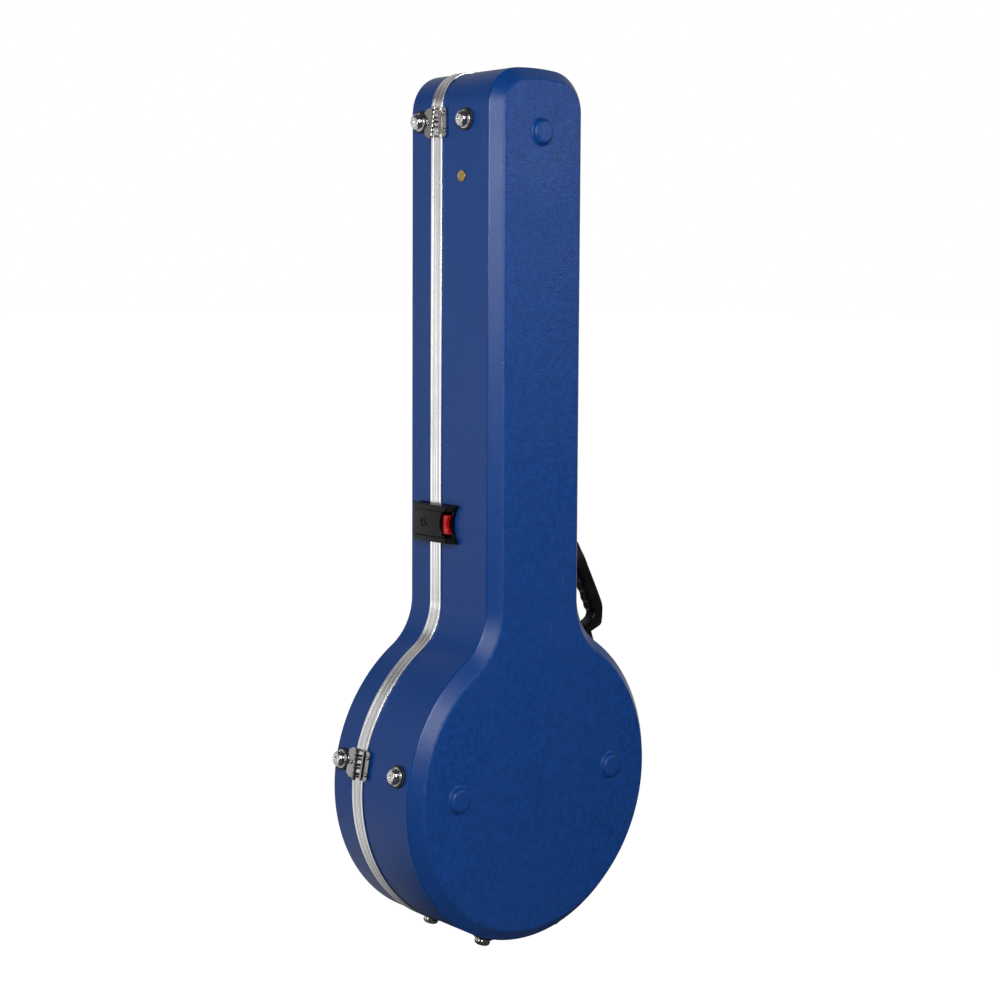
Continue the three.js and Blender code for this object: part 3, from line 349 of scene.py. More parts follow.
def node(tree, kind, inputs=None, **settings):
    """Makes a node, its kind named without the tree's own prefix, and gives its outputs."""
    made = tree.nodes.new(PREFIXES[tree.type] + kind)
    for key, value in settings.items():
        setattr(made, key, value)
    feed(tree, made.inputs, inputs or {})
    return made.outputs


def cleared(owner):
    """The empty node tree of a material or a world."""
    owner.use_nodes = True
    owner.node_tree.nodes.clear()
    return owner.node_tree


def group(name, kind, inputs, outputs):
    """A node group with named sockets, and its two ends."""
    tree = bpy.data.node_groups.new(name, kind)
    for label, socket, *default in inputs:
        made = tree.interface.new_socket(label, in_out="INPUT", socket_type=f"NodeSocket{socket}")
        if default:
            made.default_value = default[0]
    for label, socket in outputs:
        tree.interface.new_socket(label, in_out="OUTPUT", socket_type=f"NodeSocket{socket}")
    return tree, tree.nodes.new("NodeGroupInput").outputs, tree.nodes.new("NodeGroupOutput").inputs


def use_group(tree, name, **inputs):
    values = {key.replace("_", " "): value for key, value in inputs.items()}
    return node(tree, "Group", values, node_tree=bpy.data.node_groups[name])


def math_node(tree, operation, a, b=0.5):
    return node(tree, "Math", {0: a, 1: b}, operation=operation)[0]


def times(tree, a, b):
    return math_node(tree, "MULTIPLY", a, b)


def plus(tree, a, b):
    return math_node(tree, "ADD", a, b)


def away(tree, value, middle):
    """How far a value lies from a middle, to either side."""
    return math_node(tree, "ABSOLUTE", math_node(tree, "SUBTRACT", value, middle))


def along_y(tree, where):
    return node(tree, "SeparateXYZ", {0: where})["Y"]


def map_range(tree, value, low, high, new_low=0.0, new_high=1.0):
    inputs = {"Value": value, "From Min": low, "From Max": high, "To Min": new_low, "To Max": new_high}
    return node(tree, "MapRange", inputs, interpolation_type="SMOOTHSTEP")[0]


def mix_colour(tree, share, a, b, blend="MIX"):
    settings = {"data_type": "RGBA", "blend_type": blend}
    return node(tree, "Mix", {0: share, 6: a, 7: b}, **settings)[2]


def noise_node(tree, where, scale, detail, **more):
    return node(tree, "TexNoise", {"Vector": where, "Scale": scale, "Detail": detail, **more})


def bump(tree, height, strength, distance):
    inputs = {"Height": height, "Strength": strength, "Distance": distance}
    return node(tree, "Bump", inputs)[0]


def linear(colour):
    """A colour written as 0 to 255 for the screen, as the renderer's own values."""
    def channel(value):
        value /= 255
        return value / 12.92 if value <= 0.04045 else ((value + 0.055) / 1.055) ** 2.4

    return tuple(channel(value) for value in colour) + (1.0,)


def toned(colour, share, lift=0.0):
    """A renderer's colour made darker or lighter."""
    return tuple(min(1.0, value * share + lift) for value in colour[:3]) + (1.0,)


def pebble_group():
    """Moulded grain: small rounded pebbles of uneven size."""
    tree, given, end = group(
        "Pebble grain", "ShaderNodeTree",
        [("Vector", "Vector"), ("Pebbles", "Float", 620.0), ("Unevenness", "Float", 0.5)],
        [("Height", "Float"), ("Tone", "Float")])
    where = given["Vector"]
    warp = noise_node(tree, where, 260.0, 2.0)["Color"]
    shift = node(tree, "VectorMath", {0: warp, "Scale": 0.0011}, operation="SCALE")
    moved = node(tree, "VectorMath", {0: where, 1: shift[0]}, operation="ADD")
    cells = node(tree, "TexVoronoi", {"Vector": moved[0], "Scale": given["Pebbles"], "Smoothness": 0.35},
                 feature="SMOOTH_F1")
    domes = math_node(tree, "SUBTRACT", 0.9, cells["Distance"])
    blotch = noise_node(tree, where, 190.0, 4.0, Roughness=0.62)[0]
    height = plus(tree, domes, times(tree, blotch, given["Unevenness"]))
    feed(tree, end, {"Height": height, "Tone": blotch})


def handling_group():
    """Marks of use: soft cloudy patches and fine scuffs running mostly along the case."""
    tree, given, end = group(
        "Handling marks", "ShaderNodeTree",
        [("Vector", "Vector"), ("Cloud size", "Float", 9.0), ("Scuff size", "Float", 220.0)],
        [("Cloud", "Float"), ("Scuffs", "Float")])
    cloud = noise_node(tree, given["Vector"], given["Cloud size"], 5.0)[0]
    stretched = node(tree, "Mapping", {
        "Vector": given["Vector"], "Rotation": (0.35, 0.2, 0.1), "Scale": (1.0, 1.0, 0.08)})
    scuff = noise_node(tree, stretched[0], given["Scuff size"], 3.0)[0]
    thin, patch = map_range(tree, scuff, 0.66, 0.74), map_range(tree, cloud, 0.5, 0.68)
    feed(tree, end, {"Cloud": cloud, "Scuffs": times(tree, thin, patch)})


def material(name):
    """A new material's tree, its surface's sockets and its coordinates."""
    tree = cleared(bpy.data.materials.new(name))
    surface = tree.nodes.new("ShaderNodeBsdfPrincipled")
    node(tree, "OutputMaterial", {"Surface": surface.outputs[0]})
    return tree, surface.inputs, node(tree, "TexCoord")["Object"]


def blue_material(name, colour, edge, face):
    """Moulded blue plastic: satin on the walls, pebbled on the bevel and the face."""
    tree, surface, where = material(name)
    depth = away(tree, along_y(tree, where), ORIGIN.y)
    on_face = map_range(tree, depth, face - 4 * MM, face - 0.5 * MM)
    on_bevel = map_range(tree, depth, edge - 0.5 * MM, edge + 1.5 * MM)
    on_edge = times(tree, map_range(tree, depth, edge - 1.6 * MM, edge - 0.6 * MM),
                    map_range(tree, depth, edge + 1.8 * MM, edge + 0.8 * MM))
    grain = use_group(tree, "Pebble grain", Vector=where)
    marks = use_group(tree, "Handling marks", Vector=where)
    strength = plus(tree, times(tree, on_face, 0.62), times(tree, on_bevel, 0.2))
    height = times(tree, grain["Height"], plus(tree, strength, 0.05))
    base = linear(colour)
    tone = times(tree, map_range(tree, grain["Tone"], 0.3, 0.7), map_range(tree, on_face, 0, 1, 0.35, 1.0))
    shade = mix_colour(tree, tone, toned(base, 0.8), toned(base, 1.22))
    cloudy = mix_colour(tree, map_range(tree, marks["Cloud"], 0.35, 0.7, 0.0, 0.35), shade, base)
    worn = mix_colour(tree, times(tree, marks["Scuffs"], 0.08), cloudy, linear((110, 130, 170)))
    rough = plus(tree, map_range(tree, marks["Cloud"], 0.3, 0.75, 0.0, 0.08),
                 map_range(tree, on_face, 0, 1, 0.35, 0.4))
    rough = math_node(tree, "SUBTRACT", rough, times(tree, on_edge, 0.16))
    feed(tree, surface, {"Base Color": worn, "Roughness": rough, "Specular IOR Level": 0.2,
                         "Normal": bump(tree, height, 1.0, 0.00035)})


def metal_material(name, colour, roughness, drift=0.08, brushed=0.0, marks_size=30.0, grooves=()):
    """Bare or plated metal with faint cloudiness, fine hairlines and grime in patches. Grooves are
    pairs of a depth from the seam and how much light the painted shade in them leaves."""
    tree, surface, where = material(name)
    cloud = use_group(tree, "Handling marks", Vector=where, Cloud_size=marks_size)["Cloud"]
    base = linear(colour)
    shade = mix_colour(tree, map_range(tree, cloud, 0.4, 0.75), base, toned(base, 0.78))
    # Painted shade: each groove and the seam gap between the strips is darkened in the base colour.
    for middle, share in grooves:
        off = away(tree, away(tree, along_y(tree, where), ORIGIN.y), middle * MM)
        shade = mix_colour(tree, 1.0, shade, map_range(tree, off, 0.25 * MM, 0.55 * MM, share), "MULTIPLY")
    lines = node(tree, "Mapping", {"Vector": where, "Scale": (1.0, 1.0, 0.05)})[0]
    hair = noise_node(tree, lines, 2600.0, 2.0)[0]
    feed(tree, surface, {
        "Base Color": shade, "Metallic": 1.0, "Normal": bump(tree, hair, brushed, 0.00005),
        "Roughness": map_range(tree, cloud, 0.3, 0.75, roughness - drift / 2, roughness + drift)})


def plastic_material(name, colour, roughness, grain_size=1500.0, grain=0.3, worn=(70, 68, 68), shine=0.35):
    """Moulded plastic with a fine spark-eroded texture, colour drift and rubbed spots."""
    tree, surface, where = material(name)
    marks = use_group(tree, "Handling marks", Vector=where, Cloud_size=40.0)
    grit = use_group(tree, "Pebble grain", Vector=where, Pebbles=grain_size, Unevenness=0.8)
    base = linear(colour)
    shade = mix_colour(tree, map_range(tree, marks["Cloud"], 0.35, 0.7), base, toned(base, 1.35, 0.0015))
    feed(tree, surface, {
        "Base Color": mix_colour(tree, times(tree, marks["Scuffs"], 0.5), shade, linear(worn)),
        "Roughness": map_range(tree, marks["Cloud"], 0.3, 0.75, roughness, roughness + 0.12),
        "Specular IOR Level": shine, "Normal": bump(tree, grit["Height"], grain, 0.00012)})


def plush_material(name, colour):
    """Short-pile plush: brushed tufts, light and dark where the pile leans."""
    tree, surface, where = material(name)
    pile = noise_node(tree, where, 900.0, 4.0, Roughness=0.7)[0]
    lean = noise_node(tree, where, 22.0, 3.0, Distortion=0.6)[0]
    base = linear(colour)
    leaned = mix_colour(tree, map_range(tree, lean, 0.35, 0.65), toned(base, 0.5), base)
    feed(tree, surface, {
        "Base Color": mix_colour(tree, map_range(tree, pile, 0.45, 0.75), leaned, toned(base, 1.9)),
        "Roughness": 0.95, "Sheen Weight": 0.6, "Sheen Roughness": 0.4,
        "Normal": bump(tree, pile, 0.7, 0.0012)})


def webbing_material(name, colour):
    """Woven webbing: a fine twill of ribs across and along."""
    tree, surface, where = material(name)
    turned = node(tree, "Mapping", {"Vector": where, "Rotation": (0.0, 0.785, 0.0)})[0]
    waves = [node(tree, "TexWave", {"Vector": turned, "Scale": 260.0, "Distortion": 0.4},
                  bands_direction=way)["Fac"] for way in "XZ"]
    weave = math_node(tree, "MAXIMUM", *waves)
    base = linear(colour)
    feed(tree, surface, {"Base Color": mix_colour(tree, weave, base, toned(base, 2.2)), "Roughness": 0.85,
                         "Sheen Weight": 0.3, "Normal": bump(tree, weave, 0.6, 0.0004)})


def geometry_group(name, *inputs):
    return group(name, "GeometryNodeTree", [("Geometry", "Geometry"), *inputs, ("Finish", "Material")],
                 [("Geometry", "Geometry")])


def finished(tree, given, end, geometry):
    """Makes instances real, gives them their material and ends the tree."""
    real = node(tree, "RealizeInstances", {0: geometry})[0]
    painted = node(tree, "SetMaterial", {"Geometry": real, "Material": given["Finish"]})
    feed(tree, end, {"Geometry": painted[0]})


def placed_copies_tree():
    """Geometry nodes: a pattern piece on every point, turned as the point says."""
    tree, given, end = geometry_group("Placed copies", ("Pattern", "Object"), ("Size", "Float", 1.0))
    pattern = node(tree, "ObjectInfo", {"Object": given["Pattern"]}, transform_space="ORIGINAL")
    turn = node(tree, "InputNamedAttribute", {"Name": "turn"}, data_type="FLOAT_VECTOR")
    dots = node(tree, "MeshToPoints", {"Mesh": given["Geometry"]})
    copies = node(tree, "InstanceOnPoints", {
        "Points": dots[0], "Instance": pattern["Geometry"],
        "Rotation": turn["Attribute"], "Scale": given["Size"]})
    finished(tree, given, end, copies[0])


def edge_strip_tree():
    """Geometry nodes: a closed profile carried round the casing's outline."""
    tree, given, end = geometry_group("Edge strip", ("Profile", "Object"))
    profile = node(tree, "ObjectInfo", {"Object": given["Profile"]}, transform_space="ORIGINAL")
    path = node(tree, "MeshToCurve", {0: given["Geometry"]})
    upright = node(tree, "SetCurveNormal", {"Curve": path[0]}, mode="Z_UP")
    section = node(tree, "MeshToCurve", {0: profile["Geometry"]})
    swept = node(tree, "CurveToMesh", {
        "Curve": upright[0], "Profile Curve": section[0]})
    stood = node(tree, "Transform", {
        "Geometry": swept[0], "Rotation": (pi / 2, 0.0, 0.0)})
    finished(tree, given, end, stood[0])


def run_tree(obj, tree_name, **inputs):
    """Puts a geometry tree on an object, gives its named inputs and keeps only the mesh it makes."""
    change = obj.modifiers.new(tree_name, "NODES")
    change.node_group = bpy.data.node_groups[tree_name]
    for item in change.node_group.interface.items_tree:
        if item.item_type == "SOCKET" and item.in_out == "INPUT" and item.name in inputs:
            change[item.identifier] = inputs[item.name]
    return settle(obj)


def repeated(name, pattern, places, body, finish, nodes):
    """One piece of a pattern's copies at wall places."""
    obj = mesh_object([place.translation for place in places], [])
    turns = obj.data.attributes.new("turn", "FLOAT_VECTOR", "POINT")
    for item, place in zip(turns.data, places):
        item.vector = place.to_euler("XYZ")
    run_tree(obj, "Placed copies", Pattern=pattern, Size=MM, Finish=bpy.data.materials[finish])
    return dress(obj, name, body, finish, nodes)


# Settings

class CasingSettings(bpy.types.PropertyGroup):
    """Sizes and colours of the moulded casing."""
    shell_colour: bpy.props.FloatVectorProperty(
        name="Shell colour", description="Colour of the moulded plastic, 0 to 255 as on a screen",
        default=(4.0, 50.0, 110.0), min=0.0, max=255.0)
    edge_radius: bpy.props.FloatProperty(
        name="Edge radius", description="Radius of the crisp edge between wall and bevel, in millimetres",
        default=2.6, min=0.2, max=4.0)
    face_radius: bpy.props.FloatProperty(
        name="Face radius", description="Radius of the soft edge between bevel and face, in millimetres",
        default=6.0, min=1.0, max=12.0)


class LiningSettings(bpy.types.PropertyGroup):
    """The plush lining."""
    voxel: bpy.props.FloatProperty(
        name="Cell", description="Cell size that the lining's solids are rebuilt at",
        default=0.004, min=0.002, max=0.008, subtype="DISTANCE", unit="LENGTH")
    pressure: bpy.props.FloatProperty(
        name="Pressure", description="Pressure that fills the cradle and the pocket lid",
        default=4.0, min=0.5, max=10.0)


class StageSettings(bpy.types.PropertyGroup):
    """Camera and light."""
    focal_length: bpy.props.FloatProperty(
        name="Focal length", description="Focal length of the camera, in millimetres on a 36 mm sensor",
        default=64.30, min=20.0, max=200.0)
    light_level: bpy.props.FloatProperty(
        name="Light level", description="Strength of the studio lights against their plain level",
        default=1.0, min=0.1, max=4.0)


# Operators, and the shapes they use

def make_materials(settings):
    """The node groups and all finishes."""
    pebble_group()
    handling_group()
    placed_copies_tree()
    edge_strip_tree()
    colour = tuple(settings.shell_colour)
    blue_material("Blue shell back", colour, BACK_EDGE * MM, BACK_FACE * MM)
    blue_material("Blue shell lid", colour, LID_EDGE * MM, LID_FACE * MM)
    # The strip's grooves and the seam gap between the strips get painted shade.
    metal_material("Edge aluminium", (232, 231, 232), 0.26, 0.03, brushed=0.02, marks_size=9.0,
                   grooves=((0.0, 0.55), (2.7, 0.72), (4.2, 0.72), (5.8, 0.5)))
    metal_material("Foot chrome", (188, 187, 186), 0.07, 0.05)
    metal_material("Hinge nickel", (132, 130, 127), 0.18, 0.08, brushed=0.1)
    metal_material("Badge brass", (158, 128, 76), 0.3, 0.1, brushed=0.3, marks_size=90.0)
    plastic_material("Washer rubber", (16, 16, 17), 0.62)
    plastic_material("Latch black", (6, 6, 7), 0.2, shine=0.12)
    plastic_material("Trigger red", (150, 5, 11), 0.2, grain=0.1, worn=(190, 60, 60), shine=0.28)
    plastic_material("Handle black", (5, 5, 6), 0.36, shine=0.16)
    plush_material("Lining plush", (38, 39, 43))
    webbing_material("Tab webbing", (18, 19, 21))


def shell_mesh(start, edge, face, side, settings):
    """A shell's solid, through rings of the casing's outline, each at a depth and drawn in by an inset,
    from the middle of the inner face, over the rim, to the middle of the outer face."""
    inner = WALL * tan(pi / 8)
    inside = [(face - WALL, CHAMFER + 12), (face - WALL, CHAMFER + inner), (edge - inner, WALL), (start, WALL)]
    wall_end, bevel_end = (edge, 0.0), (face, CHAMFER)
    outside = [(start, 0.0), (start + 0.6, 0.0), (edge - 6.0, 0.0)]
    outside += fillet((start, 0.0), wall_end, bevel_end, settings.edge_radius, 5)
    outside += fillet(wall_end, bevel_end, (face, CHAMFER + 30), settings.face_radius, 8)
    profile = inside + outside + [(face, CHAMFER + 4.2), (face, CHAMFER + 6)]
    return rings_mesh([[(x, side * depth, z) for x, z in outline(inset)] for depth, inset in profile])


# A boss on the back's face, pairs of radius and height, and the places of the three
BOSS = [(0, -1.5), (18, -1.5), (18, -0.06), (17.2, 0.12), (16.4, 0.5), (15.6, 1.1), (15, 1.8), (14.6, 2.6),
        (14.4, 3.4), (14.2, 4.1), (13.8, 4.7), (12.9, 5.6), (12, 6.4), (11.2, 6.85), (10.2, 7), (0, 7)]
BOSS_PLACES = [(4.2, SHELL_LENGTH - 75.5), (127.2, BODY_RADIUS + 4), (-118.8, BODY_RADIUS + 4)]


class CASE_OT_shells(bpy.types.Operator):
    """Makes the two moulded shells, with the three bosses on the back."""
    bl_idname = "case.shells"
    bl_label = "Shells"

    def execute(self, context):
        settings = context.scene.banjo_casing
        back = shell_mesh(BACK_START, BACK_EDGE, BACK_FACE, 1, settings)
        bosses = []
        for x, z in BOSS_PLACES:
            boss = lathe(BOSS, 64)
            boss.data.transform(Matrix.Translation((x, BACK_FACE, z)) @ Matrix.Rotation(pi / 2, 4, "Z"))
            bosses.append(boss)
        combined(back, "UNION", bosses)
        dress(back, "casing_back", "back", "Blue shell back", ["back_shell"], CASING_PLACE, 40)
        lid = shell_mesh(LID_START, LID_EDGE, LID_FACE, -1, settings)
        dress(lid, "casing_lid", "lid", "Blue shell lid", ["lid_shell"], CASING_PLACE, 40)
        return {"FINISHED"}


# Edge strip, pairs of height over the wall and depth from the seam: its grooved outside, its leg behind
# the wall, the back's tongue and the lid's groove for it
STRIP_OUTSIDE = [(STRIP_FACE - sink, depth) for sink, depth in (
    (0.25, SEAM_GAP), (0, 0.45), (0, 2.4), (0.35, 2.55), (0.35, 2.85), (0, 3), (0, 3.9), (0.35, 4.05),
    (0.35, 4.35), (0, 4.5), (0, 5.4), (0.45, 5.6), (0.45, 6), (0.15, 6.2), (0.15, 8.9), (0, 9.1), (0, 9.7),
    (0.3, STRIP_DEPTH))] + [(0.3, STRIP_DEPTH)]
STRIP_LEG = [(-3.3, 8), (-4.3, 8), (-4.5, 7.8), (-4.5, 0.35), (-4.3, SEAM_GAP)]
TONGUE = [(-2.4, SEAM_GAP), (-2.4, -1.6), (-2.15, -TONGUE_DEPTH), (-1.45, -TONGUE_DEPTH), (-1.2, -1.6),
          (-1.2, SEAM_GAP)]
GROOVE = [(-2.9, SEAM_GAP), (-2.9, 2.6), (-0.7, 2.6), (-0.7, SEAM_GAP)]


class CASE_OT_valances(bpy.types.Operator):
    """Makes the two grooved aluminium edge strips."""
    bl_idname = "case.valances"
    bl_label = "Edge strips"

    def execute(self, context):
        finish = "Edge aluminium"
        for body, web, seam, side in (("back", 1.65, TONGUE, 1), ("lid", 3.95, GROOVE, -1)):
            profile = STRIP_OUTSIDE + [(0.3, web), (-3.3, web)] + STRIP_LEG + seam
            strip = loop_object([(x, z, 0.0) for x, z in outline(0.0)])
            section = loop_object([(height, side * depth, 0.0) for height, depth in profile])
            run_tree(strip, "Edge strip", Profile=section, Finish=bpy.data.materials[finish])
            drop(section)
            name = f"{body}_valance"
            dress(outward(strip), f"edge_strip_{body}", body, finish, [name], CASING_PLACE, 50)
        return {"FINISHED"}


# Feet, pairs of radius and height: the screw through the wall, the chrome cup that stands on the
# washer, and the washer
SCREW = [(0, -5.6), (3.6, -5.6), (4, -5.3), (4, -4.2), (2.5, -4.2)]
CUP_START = 3.0
CUP = [(2.5, 0), (10.6, 0), (10.9, 0.12), (11, 0.35), (10.95, 0.7), (10.7, 0.95), (10.3, 1.05), (9.95, 0.9),
       (9.6, 0.8), (9.35, 0.9), (9.2, 1.2), (9.15, 1.9), (9.25, 2.4), (9.42, 3.1), (9.5, 4), (9.42, 4.9),
       (9.2, 5.7), (8.75, 6.5), (8.15, 7.2), (7.4, 7.8), (6.5, 8.3), (5.6, 8.62), (4.8, 8.78), (3.6, 8.8),
       (3.2, 8.7), (2.95, 8.4), (2.85, 7.9), (2.5, 7.45), (1.5, 7.5), (0, 7.6)]
WASHER = [(2.8, 0.3), (13.2, 0.3), (13.4, 0.5), (13.4, 1.4), (13.2, 2), (12.7, 2.5), (12, 2.7), (2.8, 2.7)]
FEET = {
    "upper_lid": neck_wall(SHELL_LENGTH - 59.8, 1, -30.6),
    "upper_back": neck_wall(SHELL_LENGTH - 61.4, 1, 53.2),
    "side_lid": body_wall(10.6, -33.6),
    "side_back": body_wall(10.6, 72.8),
    "end_lid_hinge_side": body_wall(-73, -28),
    "end_back_hinge_side": body_wall(-73, 71),
    "end_lid_handle_side": body_wall(-107, -28),
    "end_back_handle_side": body_wall(-107, 71),
}


class CASE_OT_feet(bpy.types.Operator):
    """Makes the eight screwed feet and their rubber washers."""
    bl_idname = "case.feet"
    bl_label = "Feet"

    def execute(self, context):
        foot = lathe(SCREW + [(radius, CUP_START + height) for radius, height in CUP])
        cut(foot, *[column([(-a, -b), (a, -b), (a, b), (-a, b)], CUP_START + 6.9, CUP_START + 8.2)
                    for a, b in ((2.1, 0.42), (0.42, 2.1))])
        washer = lathe(WASHER)
        for body in ("back", "lid"):
            names = [name for name in FEET if body in name]
            spots = [FEET[name] for name in names]
            for kind, kinds, pattern, finish in (("foot", "feet", foot, "Foot chrome"),
                                                 ("washer", "washers", washer, "Washer rubber")):
                nodes = [f"{kind}_{name}" for name in names]
                repeated(f"{kinds}_{body}", pattern, spots, body, finish, nodes)
        drop(foot, washer)
        return {"FINISHED"}


def on_hinge_line(x, z, along=0.0):
    """A pin's place, its own rise out of the wall and a shift along the hinge line."""
    c, s = cos(HINGE_TILT), sin(HINGE_TILT)
    return x + PIN_RISE * c - along * s, z + PIN_RISE * s + along * c


def moved_along(place, depth, height):
    return place @ Matrix.Translation((0.0, depth, height))


# Pairs of radius and height
KNUCKLE = [(1.5, -1.47), (2.5, -1.47), (2.66, -1.3), (2.66, 1.3), (2.5, 1.47), (1.5, 1.47)]
RIVET = [(0, -5.2), (3.8, -5.2), (4, -5), (4, -4.2), (1.4, -4.2), (1.4, 3.4), (2.5, 3.4), (2.6, 3.5),
         (2.55, 3.8), (2.3, 4.2), (1.9, 4.5), (1.3, 4.66), (0.6, 4.7), (0, 4.7)]


class CASE_OT_hinges(bpy.types.Operator):
    """Makes the two hinges: leaves, rolled knuckles, pins and rivets."""
    bl_idname = "case.hinges"
    bl_label = "Hinges"

    def execute(self, context):
        finish = "Hinge nickel"
        c, s = cos(HINGE_TILT), sin(HINGE_TILT)
        pins = {
            "upper": (*on_hinge_line(HALF_NECK, UPPER_HINGE), 0.0),
            "lower": (*on_hinge_line(BODY_RADIUS * c, BODY_RADIUS * (1 + s), LOWER_HINGE_LIFT),
                      HINGE_TILT + LOWER_HINGE_LIFT / BODY_RADIUS),
        }
        knuckle, rivet = lathe(KNUCKLE, 32), lathe(RIVET, 32)
        knuckle.data.transform(Matrix.Rotation(-pi / 2, 4, "Y"))
        pitch = (HINGE_LENGTH - KNUCKLE_LENGTH) / (KNUCKLES - 1)
        start = -HINGE_LENGTH / 2
        rolls, heads = {"lid": [], "back": []}, {"lid": [], "back": []}
        for name, (x, z, turn) in pins.items():
            line = wall_place(x, z, HINGE_TILT)
            for i in range(KNUCKLES):
                height = start + i * pitch + KNUCKLE_LENGTH / 2
                rolls["back" if i % 2 else "lid"].append(moved_along(line, 0.0, height))
            seat = wall_place(x - PIN_RISE * c, z - PIN_RISE * s, turn)
            heads["lid"].append(moved_along(seat, -14.0, 0.0))
            heads["back"] += [moved_along(seat, 16.2, side * 10.0) for side in (-1, 1)]
            for leaf, body in (("lid_leaf", "lid"), ("back_leaf", "back"), ("pin", "back")):
                refined(f"hinge_{name}_{leaf}", 0.3, body, finish)
        for body, ends in (("lid", "lid_rivet"), ("back", "back_rivets")):
            repeated(f"hinge_knuckles_{body}", knuckle, rolls[body], body, finish, [])
            nodes = [f"hinge_{name}_{ends}" for name in pins]
            repeated(f"hinge_rivets_{body}", rivet, heads[body], body, finish, nodes)
        drop(knuckle, rivet)
        return {"FINISHED"}


def crest(depth):
    """Height of a latch's rails over their length, a shallow curve."""
    return (11.4 * (depth + 6) * (depth - 30.3) / (25.4 * 61.7)
            - 12.8 * (depth + 31.4) * (depth - 30.3) / (25.4 * 36.3)
            + 11.2 * (depth + 31.4) * (depth + 6) / (61.7 * 36.3))


def sweep(depth):
    """Height that clears the strip as the lid swings."""
    return SWEEP_LINE - sqrt(SWEEP_RADIUS ** 2 - depth ** 2)


def hollow(half_width, sag, depth):
    """Radius and middle of a round hollow, from its half width, its sag and its deepest point."""
    radius = (half_width ** 2 + sag ** 2) / (2 * sag)
    return radius, depth + radius


def disc(radius, middle, low=-5.0):
    """A round column that stands out of the wall, to cut with."""
    return column(arc(middle, 0, radius, 0, FULL_TURN, 96), low, 20)


def bar(height, depth, low, high, radius):
    """A round bar along the wall."""
    return prism(arc(height, depth, radius, 0, FULL_TURN, 24), low, high)


def slab(heights, depths, ends):
    """A plain block between two heights, depths and ends."""
    (a, b), (c, d) = heights, depths
    return prism([(a, c), (b, c), (b, d), (a, d)], *ends)


def bead(radius, middle, half, thick, height):
    """A fine round bead that follows an arc across the latch."""
    reach = asin(half / radius)
    rings = []
    for t in spread(-reach, reach, 24):
        depth, along = middle - radius * cos(t), radius * sin(t)
        rings.append([(height(depth) + thick * cos(a), depth + thick * sin(a) * cos(t),
                       along - thick * sin(a) * sin(t)) for a in spread(0, FULL_TURN, 12)[:-1]])
    return rings_mesh(rings)


def lever_top(sink):
    """Points over the lever from nose to heel, under its crest."""
    return [(crest(depth) - sink, depth) for depth in spread(NOSE, HEEL, 12)]


def lever_inside(sink):
    """Points inside the lever from toe to nose, under its crest."""
    return [(6.0, TOE), (8.9, HEEL)] + [(crest(depth) - sink, depth) for depth in spread(-26.0, NOSE, 8)]


# Plain raised rings and the button on the lever's cover, and its barrel, pairs of radius and height
COVER_RINGS = [
    [(5.2, 11.2), (6.6, 11.2), (6.6, 12.35), (6.4, 12.58), (5.4, 12.58), (5.2, 12.35)],
    [(3.7, 11.2), (4.2, 11.2), (4.2, 12.2), (4.05, 12.32), (3.85, 12.32), (3.7, 12.2)],
    [(0, 11.2), (2.6, 11.2), (2.6, 12.2), (2.3, 12.45), (1.5, 12.58), (0, 12.6)],
]
BARREL = [(1.5, -11), (2.4, -11), (2.6, -10.8), (2.6, 10.8), (2.4, 11), (1.5, 11)]


def latch_lever():
    under = [(6.0, TOE), (2.4, -31.5), (2.4, 0.0)] + [(sweep(d), d) for d in spread(0.0, NOSE, 4)[1:]]
    pieces = []
    for low, high, hole in ((-LATCH_HALF, -COVER_HALF, (-19.45, -15)), (COVER_HALF, LATCH_HALF, (15, 19.45))):
        rail = prism(under + lever_top(0.0) + [(7.4, TOE)], low, high)
        pieces.append(soft_edges(cut(rail, bar(*PIVOT, *hole, 1.5)), 1.15, 4))
    radius, middle = hollow(COVER_HALF, 5.4, 20.6)
    cover = prism(lever_inside(2.8) + lever_top(0.7) + [(6.8, TOE)], -14.9, 14.9)
    pieces.append(soft_edges(cut(cover, disc(radius, middle, 0)), 0.4))
    floor = lever_inside(3.3) + lever_top(2.3) + [(6.2, TOE)]
    pieces.append(cut(prism(floor, -COVER_HALF - 0.3, COVER_HALF + 0.3), disc(radius, middle, 0)))
    pieces.append(bead(radius + 0.75, middle, 14.6, 0.5, lambda depth: crest(depth) - 0.62))
    for profile in COVER_RINGS:
        ring = lathe(profile)
        ring.data.transform(Matrix.Translation((0.0, -10.0, 0.0)))
        pieces.append(ring)
    barrel = lathe(BARREL, 32)
    barrel.data.transform(Matrix.Translation((*PIVOT, 0.0)) @ Matrix.Rotation(-pi / 2, 4, "Y"))
    web = slab((7.9, 10.3), (HEEL, -27.8), (-11, 11))
    hook = soft_edges(slab((6.3, 10.3), (13, 17), (-7, 7)), 0.5, 2)
    return merged(pieces + [barrel, web, hook])


def latch_keeper():
    radius, middle = hollow(LATCH_HALF, 7.8, 34.8)
    foot, start, end = -2.4, 12.4, 42.6
    side = [(foot, start), (foot, end), (5.4, end), (11.0, 31.5)]
    side += [(max(sweep(d) - 0.6, 0.3), d) for d in spread(31.5, start, 5)[1:]]
    pieces = []
    for low, high in ((-LATCH_HALF, -COVER_HALF), (COVER_HALF, LATCH_HALF)):
        pieces.append(soft_edges(cut(prism(side, low, high), disc(radius, middle)), 1.0, 4))
    floor = cut(slab((foot, 2.2), (start, end), (-16.6, 16.6)), disc(radius, middle))
    wall = cut(slab((1.6, 4.0), (25.0, end), (-16.6, 16.6)), disc(radius, middle))
    combined(wall, "INTERSECT", [disc(radius + 1.7, middle)])
    flange = cut(slab((foot, 1.0), (start, end), (-23.8, 23.8)), disc(radius, middle))
    return merged(pieces + [floor, soft_edges(wall, 0.35, 2), soft_edges(flange, 0.4, 2)])


